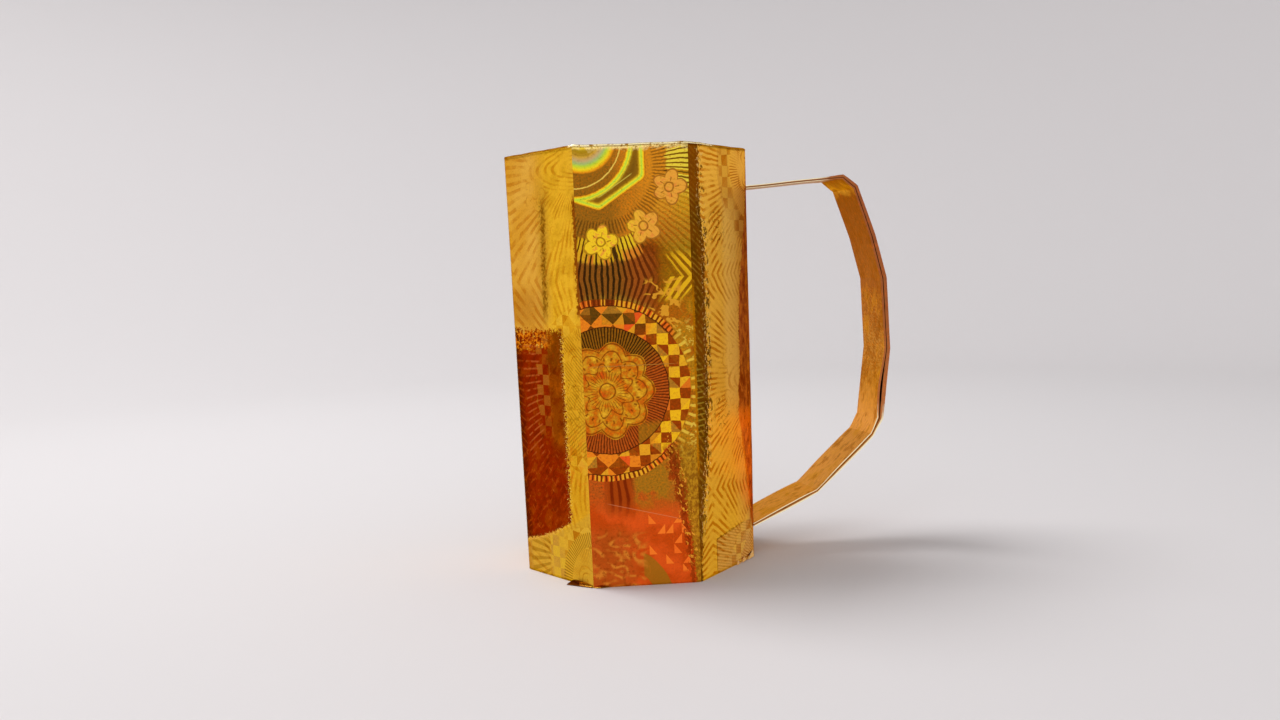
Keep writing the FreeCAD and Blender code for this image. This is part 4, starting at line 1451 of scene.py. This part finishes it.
class FOILCUP_OT_rim(bpy.types.Operator):
    """Run the rounded fold along the top of the walls"""

    bl_idname = "foilcup.rim"
    bl_label = "Rim fold"

    def execute(self, context):
        sizes = context.scene.foil_cup
        colours = context.scene.foil_colours
        walls = bpy.data.objects["walls"].data
        top = [v.co.copy() for v in walls.vertices if v.co.z > sizes.height - RIM_BAND]
        top.sort(key=lambda spot: math.atan2(spot.y, spot.x))
        ring = []
        for spot in top:
            flat = Vector((spot.x, spot.y, 0)).normalized()
            ring.append(spot - flat * sizes.wall * 0.5)
        mesh = bpy.data.meshes.new("rim_path")
        count = len(ring)
        mesh.from_pydata(ring, [(i, (i + 1) % count) for i in range(count)], [])
        inputs = {"Radius": sizes.wall * FOLD_RADIUS, "Material": rim_foil(colours)}
        swept = run_tree("rim_fold", mesh, fold_tree(), inputs)
        tidy_mesh(swept)
        smooth(swept)
        add_piece("rim_fold", swept)
        return {"FINISHED"}


# ----------------------------------------------------------------------
# Pleats and loose tips
# ----------------------------------------------------------------------

PLEAT_DROP = 0.7 * MM  # top of a pleat, below the rim
PLEAT_RUN = 3.0 * MM  # how far a pleat runs along each wall
PLEAT_DEPTH = 1.7 * MM  # how far its ridge stands off the corner
PLEAT_DIP = 0.4 * MM  # how far its ridge is lower than its top
PLEAT_FOOT = (0.25 * MM, 6.0 * MM)  # its foot, off the corner and down


class FOILCUP_OT_pleats(bpy.types.Operator):
    """Fold a small pleat into each inner corner below the rim"""

    bl_idname = "foilcup.pleats"
    bl_label = "Pleats"

    def execute(self, context):
        sizes = context.scene.foil_cup
        half = math.pi / sizes.walls
        corner = sizes.rim_radius - sizes.wall / math.cos(half)
        top = sizes.height - PLEAT_DROP
        inward, aside = math.sin(half) * PLEAT_RUN, math.cos(half) * PLEAT_RUN
        spots = [
            (corner - inward, aside, top),
            (corner - PLEAT_DEPTH, 0, top - PLEAT_DIP),
            (corner - inward, -aside, top),
            (corner, 0, top),
            (corner - PLEAT_FOOT[0], 0, top - PLEAT_FOOT[1]),
        ]
        faces = [(0, 1, 4), (1, 2, 4), (2, 3, 4), (3, 0, 4), (0, 3, 2, 1)]
        mesh = bpy.data.meshes.new("pleat")
        mesh.from_pydata(spots, [], faces)
        map_sheet(mesh, 1, 2)
        finish = plain_foil("foil_pleat", "#a8701c", "#d09630", 0.6)
        inputs = {"Count": sizes.walls, "Material": finish}
        made = run_tree("corner_pleats", mesh, turning_tree("pleat_turn", math.pi), inputs)
        tidy_mesh(made)
        add_piece("corner_pleats", made)
        return {"FINISHED"}


TIP_THICK = 0.14 * MM  # thickness of a loose tip

# The tips' finishes, each with its two colours
TIP_FOILS = [
    # The dark finish is painted shade, for the tip beside the front's left corner.
    ("foil_tip_dark", "#5c300e", "#3e1e08"),
    ("foil_tip_gold", "#c08a34", "#8a5818"),
    ("foil_tip_pale", "#ecc890", "#d8a868"),
]

# Loose tips of the lapped ends by the base, each as the number of its finish and
# its three corners: angle round the base in degrees, distance out from the wall
# in mm, and height in mm
TIPS = [
    # This loose tip is dark as painted shade under the front's left corner.
    (0, (-129.0, 0.2, 0.1), (-143.0, 2.4, 0.1), (-144.5, 0.1, 0.1)),
    (1, (-129.6, 0.3, 0.2), (-136.5, 1.2, 0.2), (-138.5, 0.1, 0.2)),
    (1, (-128.0, 0.2, 0.1), (-125.0, 0.6, 0.1), (-121.5, 0.1, 0.1)),
    (2, (-27.0, 0.3, 0.2), (-34.0, 0.6, 0.2), (-27.5, 0.2, 1.6)),
    (2, (-33.0, 0.2, 0.2), (-40.0, 0.8, 0.3), (-36.0, 0.2, 1.0)),
    (2, (-39.0, 0.2, 0.1), (-45.0, 0.7, 0.2), (-42.0, 0.2, 0.7)),
]


class FOILCUP_OT_tips(bpy.types.Operator):
    """Add the loose paper tips that stand out by the base"""

    bl_idname = "foilcup.tips"
    bl_label = "Loose tips"

    def execute(self, context):
        sizes = context.scene.foil_cup
        step = math.tau / sizes.walls
        apothem = sizes.rim_radius * sizes.base_taper * math.cos(step / 2)
        work = bmesh.new()
        layer = work.loops.layers.uv.new("sheet")
        for finish, *corners in TIPS:
            rings = []
            for thick in (0.0, TIP_THICK):
                ring = []
                for angle, out, height in corners:
                    turn = math.radians(angle)
                    off_middle = ((turn - math.pi) % step) - step / 2
                    radius = apothem / math.cos(off_middle) + out * MM - thick
                    x, y = radius * math.cos(turn), radius * math.sin(turn)
                    ring.append(work.verts.new((x, y, height * MM + thick)))
                rings.append(ring)
            faces = [work.faces.new(rings[0]), work.faces.new(reversed(rings[1]))]
            for i in range(3):
                j = (i + 1) % 3
                faces.append(work.faces.new((rings[0][i], rings[1][i], rings[1][j], rings[0][j])))
            for face in faces:
                face.material_index = finish
                for loop in face.loops:
                    x, y, z = loop.vert.co / MM * UV_PER_MM
                    loop[layer].uv = (x, y + z)
        bmesh.ops.recalc_face_normals(work, faces=work.faces)
        mesh = mesh_of("loose_tips", work)
        for foil in TIP_FOILS:
            mesh.materials.append(plain_foil(*foil))
        add_piece("loose_tips", mesh)
        return {"FINISHED"}


# ----------------------------------------------------------------------
# Base
# ----------------------------------------------------------------------


def turning_tree(name, start=0.0):
    """Tree that repeats a piece round the cup's axis, from a starting angle."""
    sockets = [("Count", "Int"), ("Material", "Material")]
    tree, net, given = new_tree(name, sockets)
    points = net.node("GeometryNodePoints", None, {"Count": given["Count"]})
    index = net.node("GeometryNodeInputIndex")
    turn = net.vector(0, 0, index * math.tau / given["Count"] + start)
    copies = net.node(
        "GeometryNodeInstanceOnPoints", None,
        {"Points": points, "Instance": given["Geometry"], "Rotation": turn},
    )
    end_tree(net, copies)
    return tree


def prism(outline, low, high, name):
    """Closed mesh between two heights over an outline; heights are per corner."""
    count = len(outline)
    spots = [(x, y, z) for (x, y), z in zip(outline, low)]
    spots += [(x, y, z) for (x, y), z in zip(outline, high)]
    faces = [tuple(reversed(range(count))), tuple(range(count, 2 * count))]
    for i in range(count):
        j = (i + 1) % count
        faces.append((i, j, count + j, count + i))
    mesh = bpy.data.meshes.new(name)
    mesh.from_pydata(spots, [], faces)
    map_sheet(mesh, 0, 1)
    return mesh


LAP_THICK = 0.28  # thickness of a lap, in mm
LAP_TIPS = ((1.5, 1.0), (0.6, 2.4))  # a lap's two corners past the axis, in mm

# The laps seen from below and from inside, each as its name, its height by the
# wall and how far its middle corners are above that, in mm
LAPS = (("base_laps", 0.02, 0.55), ("floor_laps", 1.1, -0.45))


class FOILCUP_OT_base(bpy.types.Operator):
    """Lap the panel ends over each other to close the base"""

    bl_idname = "foilcup.base"
    bl_label = "Base"

    def execute(self, context):
        sizes = context.scene.foil_cup
        colours = context.scene.foil_colours
        finish = plain_foil("foil_base", colours.gold, colours.amber)
        step = math.tau / sizes.walls
        out = sizes.rim_radius * sizes.base_taper - sizes.wall
        outline = [(out * math.cos(a), out * math.sin(a)) for a in (math.pi, math.pi + step)]
        outline += [(x * MM, y * MM) for x, y in LAP_TIPS]
        inputs = {"Count": sizes.walls, "Material": finish}
        for name, level, lift in LAPS:
            low = [(level + rise) * MM for rise in (0.0, lift, lift, 0.0)]
            high = [z + LAP_THICK * MM for z in low]
            lap = prism(outline, low, high, name + "_one")
            add_piece(name, run_tree(name, lap, turning_tree(name + "_turn"), inputs))
        return {"FINISHED"}


# ----------------------------------------------------------------------
# Handle
# ----------------------------------------------------------------------

# Bends of the strip from its upper tuck to its lower one: distance out from
# the handle wall, and height, both in mm
BENDS = [
    (0, 88.1), (25.0, 90.1), (28.4, 87.6), (32.9, 75.8), (35.8, 65.4),
    (36.5, 48.0), (34.3, 30.8), (31.9, 26.9), (16.8, 14.3), (0, 7.7),
]


def wall_face(sizes, height):
    """Distance of the handle wall's middle from the axis at a height."""
    share = height / sizes.height
    radius = sizes.rim_radius * (sizes.base_taper + (1 - sizes.base_taper) * share)
    return radius * math.cos(math.pi / sizes.walls)


def strip_route(sizes):
    """Bends of the strip as points of the upright plane, in metres."""
    return [Vector((wall_face(sizes, z * MM) + x * MM, z * MM)) for x, z in BENDS]


def fine_route(bends, step=0.9 * MM):
    """Closely spaced points along a route, each with the normal on its outer
    side and its distance along the strip."""
    spots = []
    for start, end in zip(bends, bends[1:]):
        run = end - start
        count = max(2, int(run.length / step))
        for i in range(count):
            spots.append(start + run * (i / count))
    spots.append(bends[-1])
    rows = []
    along = 0.0
    for i, spot in enumerate(spots):
        before = spots[max(i - 1, 0)]
        after = spots[min(i + 1, len(spots) - 1)]
        heading = (after - before).normalized()
        if i:
            along += (spot - spots[i - 1]).length
        rows.append((spot, Vector((-heading.y, heading.x)), along))
    return rows


PLY_COLUMNS = 10  # faces across the strip
WAVES = 90  # noise steps per metre along the strip's waves
WAVE = 0.1 * MM  # depth of the waves


def build_ply(name, rows, near, width, faces_at, materials, outside=0):
    """Band of paper along a route in the upright plane. faces_at gives how far
    its outer and inner face stand off the route, by share along and across. The
    side that faces out of the strip is 0 or 1."""
    columns = PLY_COLUMNS
    run = rows[-1][2]
    work = bmesh.new()
    layer = work.loops.layers.uv.new("sheet")

    def spot(row, side, i):
        at, normal, along = row
        w = i / columns
        lift = faces_at(along / run, w)[side]
        lift += noise.noise(Vector((along * WAVES, w * 2, len(name)))) * WAVE * (1 - w)
        place = at + normal * lift
        return work.verts.new((place.x, near + width * w, place.y))

    def patch(corners, slot):
        face = work.faces.new([grid[r][s][i] for r, s, i in corners])
        face.material_index = slot
        for loop, (r, s, i) in zip(face.loops, corners):
            deep = i / columns * width / MM if slot == 0 else abs(s - outside)
            loop[layer].uv = (rows[r][2] / MM * UV_PER_MM, deep * UV_PER_MM)

    grid = [[[spot(row, side, i) for i in range(columns + 1)] for side in (0, 1)] for row in rows]
    for r in range(len(rows) - 1):
        q = r + 1
        for i in range(columns):
            j = i + 1
            for side in (0, 1):
                patch([(r, side, i), (q, side, i), (q, side, j), (r, side, j)], 0)
        for i in (0, columns):
            patch([(r, 0, i), (q, 0, i), (q, 1, i), (r, 1, i)], 1)
    for r in (0, len(rows) - 1):
        for i in range(columns):
            patch([(r, 0, i), (r, 0, i + 1), (r, 1, i + 1), (r, 1, i)], 1)
    bmesh.ops.recalc_face_normals(work, faces=work.faces)
    mesh = mesh_of(name, work)
    for material in materials:
        mesh.materials.append(material)
    return add_piece(name, mesh)


def hump(share, middle, width, tall):
    """Smooth hump of a given width and height round a middle."""
    return tall * math.exp(-((share - middle) / width) ** 2)


# Colours of the handle's inner ply, outer ply and ply edges, by share of the run
# The inner ply's pale stop at the top bend is a painted highlight.
COPPER = [
    (0.0, "#8a4c24"), (0.19, "#985830"), (0.205, "#a86a38"), (0.218, "#d89840"),
    (0.235, "#96552e"), (0.3, "#9c5a38"), (0.42, "#ac6840"), (0.52, "#c88a4c"),
    (0.6, "#cc8c4a"), (0.67, "#f0a45a"), (1.0, "#fab066"),
]
RUST = [
    (0.0, "#d8a860"), (0.18, "#c88a40"), (0.25, "#a86236"), (0.5, "#a8642f"),
    (0.72, "#c08038"), (1.0, "#d8a050"),
]
EDGES = [
    (0.0, "#a86c38"), (0.2, "#a8643a"), (0.25, "#a05a34"), (0.5, "#a86236"),
    (0.64, "#b87040"), (0.7, "#c07c38"), (1.0, "#b87838"),
]
LEG_INSET = 1.5 * MM  # how much narrower the strip's end is, by its near edge
LEG_OFF = 0.3 * MM  # how far its middle stands off the wall
LEG_HALF = 0.2 * MM  # half its thickness


class FOILCUP_OT_handle(bpy.types.Operator):
    """Bend the strip's two plies into the handle, and lay its end up the wall"""

    bl_idname = "foilcup.handle"
    bl_label = "Handle"

    def execute(self, context):
        sizes = context.scene.foil_cup
        inner_foil = strip_foil("foil_copper", COPPER, 0.5)
        outer_foil = strip_foil("foil_rust", RUST, 0.3)
        edge_foil = strip_foil("foil_edge", EDGES, 0.0, 1.0)
        near = -sizes.rim_radius * math.sin(math.pi / sizes.walls) + sizes.strip_inset
        rows = fine_route(strip_route(sizes))

        def half(share):
            """Half the strip's thickness: thin on top, pinched at the lower bends."""
            full = 0.55 + 0.45 * min(1.0, max(0.0, (share - 0.16) / 0.05))
            pinch = hump(share, 0.85, 0.03, 0.35) + hump(share, 0.7, 0.015, 0.25)
            return sizes.strip_thick / 2 * (full - pinch - hump(share, 1.0, 0.05, 0.3))

        def opened(share, across):
            """How far the inner ply stands off beyond the strip's thickness."""
            puff = hump(share, 0.62, 0.06, sizes.gape) + hump(share, 0.4, 0.16, 0.5 * MM)
            return puff * (1 - across) ** 1.5

        def slit(share, across):
            """Outer and inner side of the slit between the plies."""
            full = 2 * half(share) + opened(share, across)
            wide = 0.12 + hump(share, 0.62, 0.04, 0.14)
            middle = half(share) - full * 0.62
            shut = 1 - across ** 8
            return middle * shut + full * wide / 2 * shut, middle * shut - full * wide / 2 * shut

        def outer(share, across):
            return half(share), slit(share, across)[0]

        def inner(share, across):
            return slit(share, across)[1], -half(share) - opened(share, across)

        def leg_faces(share, across):
            sag = -hump(share, 0.5, 0.3, 0.1 * MM)
            return sag + LEG_HALF, sag - LEG_HALF

        width = sizes.strip_width
        build_ply("handle_outer_ply", rows, near, width, outer, [outer_foil, edge_foil])
        build_ply("handle_inner_ply", rows, near, width, inner, [inner_foil, edge_foil], 1)
        ends = [BENDS[-1][1] * MM, BENDS[0][1] * MM]
        leg = fine_route([Vector((wall_face(sizes, z) + LEG_OFF, z)) for z in ends], 2 * MM)
        build_ply(
            "handle_leg", leg, near + LEG_INSET, width - LEG_INSET, leg_faces,
            [outer_foil, edge_foil],
        )
        return {"FINISHED"}


# ----------------------------------------------------------------------
# Stage
# ----------------------------------------------------------------------

CAMERA_PLACE = Vector((-69.87, -250.23, 70.56)) * MM
CAMERA_AHEAD = Vector((0.27446, 0.95774, -0.0861))
CAMERA_UP = Vector((0.0633, 0.07135, 0.99544))
CAMERA_LENS = 30.375

# Backdrop: a flat round floor whose edge curves up, in metres
FLAT = 0.45  # radius of the flat part
FAR = 0.95  # radius of the whole
TALL = 0.5  # height of its edge
FLOOR = -0.02 * MM  # the floor's level, just under the base
RINGS = 40  # rings of faces
SPOKES = 96  # faces round each ring

# Lamps: size and place, and the point that both shine at, in metres
KEY = (0.4, (-0.3, 0.25, 0.8))
FILL = (0.7, (-0.35, -0.75, 0.8))
CUP_MIDDLE = (0.01, 0, 0.045)


def stage_material(colour, gloss):
    """Matt pale card that shows evenly lit in reflections."""
    material, net, shader = new_material("pale_card")
    shader.inputs["Base Color"].default_value = (*colour, 1)
    shader.inputs["Roughness"].default_value = 0.9
    even = net.node("ShaderNodeEmission", None, {"Color": (1.0, 0.98, 0.96), "Strength": 1.0})
    glossy = net.node("ShaderNodeLightPath").sibling("Is Glossy Ray")
    own = Value(net, shader.outputs[0])
    mixed = net.node("ShaderNodeMixShader", None, [glossy * gloss, own, even])
    output = next(n for n in net.tree.nodes if n.type == "OUTPUT_MATERIAL")
    net.feed(output.inputs["Surface"], mixed)
    return material


def add_lamp(name, power, size, place):
    """Square area lamp that points at the middle of the cup."""
    lamp = bpy.data.lights.new(name, "AREA")
    lamp.energy = power
    lamp.size = size
    item = bpy.data.objects.new(name, lamp)
    item.location = place
    aim = Vector(CUP_MIDDLE) - Vector(place)
    item.rotation_euler = aim.to_track_quat("-Z", "Y").to_euler()
    item.visible_camera = False
    bpy.context.scene.collection.objects.link(item)


def backdrop_mesh():
    """Round floor with a rising edge, as rings of faces round its middle."""
    work = bmesh.new()
    turns = [math.tau * k / SPOKES for k in range(SPOKES)]
    rows = []
    for i in range(1, RINGS + 1):
        radius = FAR * i / RINGS
        rise = max(0.0, (radius - FLAT) / (FAR - FLAT))
        height = TALL * (1 - math.cos(rise * math.pi / 2)) + FLOOR
        rows.append([
            work.verts.new((radius * math.cos(a), radius * math.sin(a), height)) for a in turns
        ])
    middle = work.verts.new((0, 0, FLOOR))
    for k in range(SPOKES):
        j = (k + 1) % SPOKES
        work.faces.new((middle, rows[0][k], rows[0][j]))
        for inner, outer in zip(rows, rows[1:]):
            work.faces.new((inner[k], outer[k], outer[j], inner[j]))
    mesh = mesh_of("backdrop", work)
    smooth(mesh)
    return mesh


def add_camera(context):
    """Camera at its fixed place."""
    camera = bpy.data.cameras.new("camera")
    camera.lens = CAMERA_LENS
    camera.clip_start = 0.01
    item = bpy.data.objects.new("camera", camera)
    right = CAMERA_AHEAD.cross(CAMERA_UP).normalized()
    up = right.cross(CAMERA_AHEAD).normalized()
    turn = Matrix((right, up, -CAMERA_AHEAD.normalized())).transposed()
    item.matrix_world = Matrix.Translation(CAMERA_PLACE) @ turn.to_4x4()
    context.scene.collection.objects.link(item)
    context.scene.camera = item


class FOILCUP_OT_stage(bpy.types.Operator):
    """Lay the floor and backdrop, and set the lamps and the camera"""

    bl_idname = "foilcup.stage"
    bl_label = "Stage"

    def execute(self, context):
        look = context.scene.foil_stage
        mesh = backdrop_mesh()
        mesh.materials.append(stage_material(look.floor, look.gloss))
        bowl = bpy.data.objects.new("backdrop", mesh)
        context.scene.collection.objects.link(bowl)

        add_lamp("key", look.key_power, *KEY)
        add_lamp("front_fill", look.fill_power, *FILL)

        world = context.scene.world or bpy.data.worlds.new("studio")
        context.scene.world = world
        world.use_nodes = True
        back = world.node_tree.nodes["Background"]
        back.inputs["Color"].default_value = (1, 1, 1, 1)
        back.inputs["Strength"].default_value = look.sky

        add_camera(context)
        context.scene.view_settings.view_transform = "Standard"
        return {"FINISHED"}


# ----------------------------------------------------------------------
# Panel and registration
# ----------------------------------------------------------------------

STEPS = (
    FOILCUP_OT_walls, FOILCUP_OT_rim, FOILCUP_OT_pleats, FOILCUP_OT_base, FOILCUP_OT_tips,
    FOILCUP_OT_handle, FOILCUP_OT_stage,
)


class FOILCUP_PT_panel(bpy.types.Panel):
    """Lists the steps and settings of the cup."""

    bl_idname = "FOILCUP_PT_panel"
    bl_label = "Foil cup"
    bl_space_type = "VIEW_3D"
    bl_region_type = "UI"
    bl_category = "Foil cup"

    def draw(self, context):
        scene = context.scene
        for settings in (scene.foil_cup, scene.foil_colours, scene.foil_stage):
            for name in settings.__annotations__:
                self.layout.prop(settings, name)
        for step in STEPS:
            self.layout.operator(step.bl_idname)


CLASSES = (CupSizes, FoilColours, StageLook, *STEPS, FOILCUP_PT_panel)


def register():
    for item in CLASSES:
        bpy.utils.register_class(item)
    bpy.types.Scene.foil_cup = PointerProperty(type=CupSizes)
    bpy.types.Scene.foil_colours = PointerProperty(type=FoilColours)
    bpy.types.Scene.foil_stage = PointerProperty(type=StageLook)


def unregister():
    for name in ("foil_cup", "foil_colours", "foil_stage"):
        delattr(bpy.types.Scene, name)
    for item in reversed(CLASSES):
        bpy.utils.unregister_class(item)


def main():
    register()
    bpy.ops.foilcup.stage()
    bpy.ops.foilcup.walls()
    bpy.ops.foilcup.rim()
    bpy.ops.foilcup.pleats()
    bpy.ops.foilcup.base()
    bpy.ops.foilcup.tips()
    bpy.ops.foilcup.handle()


if __name__ == "__main__":
    main()
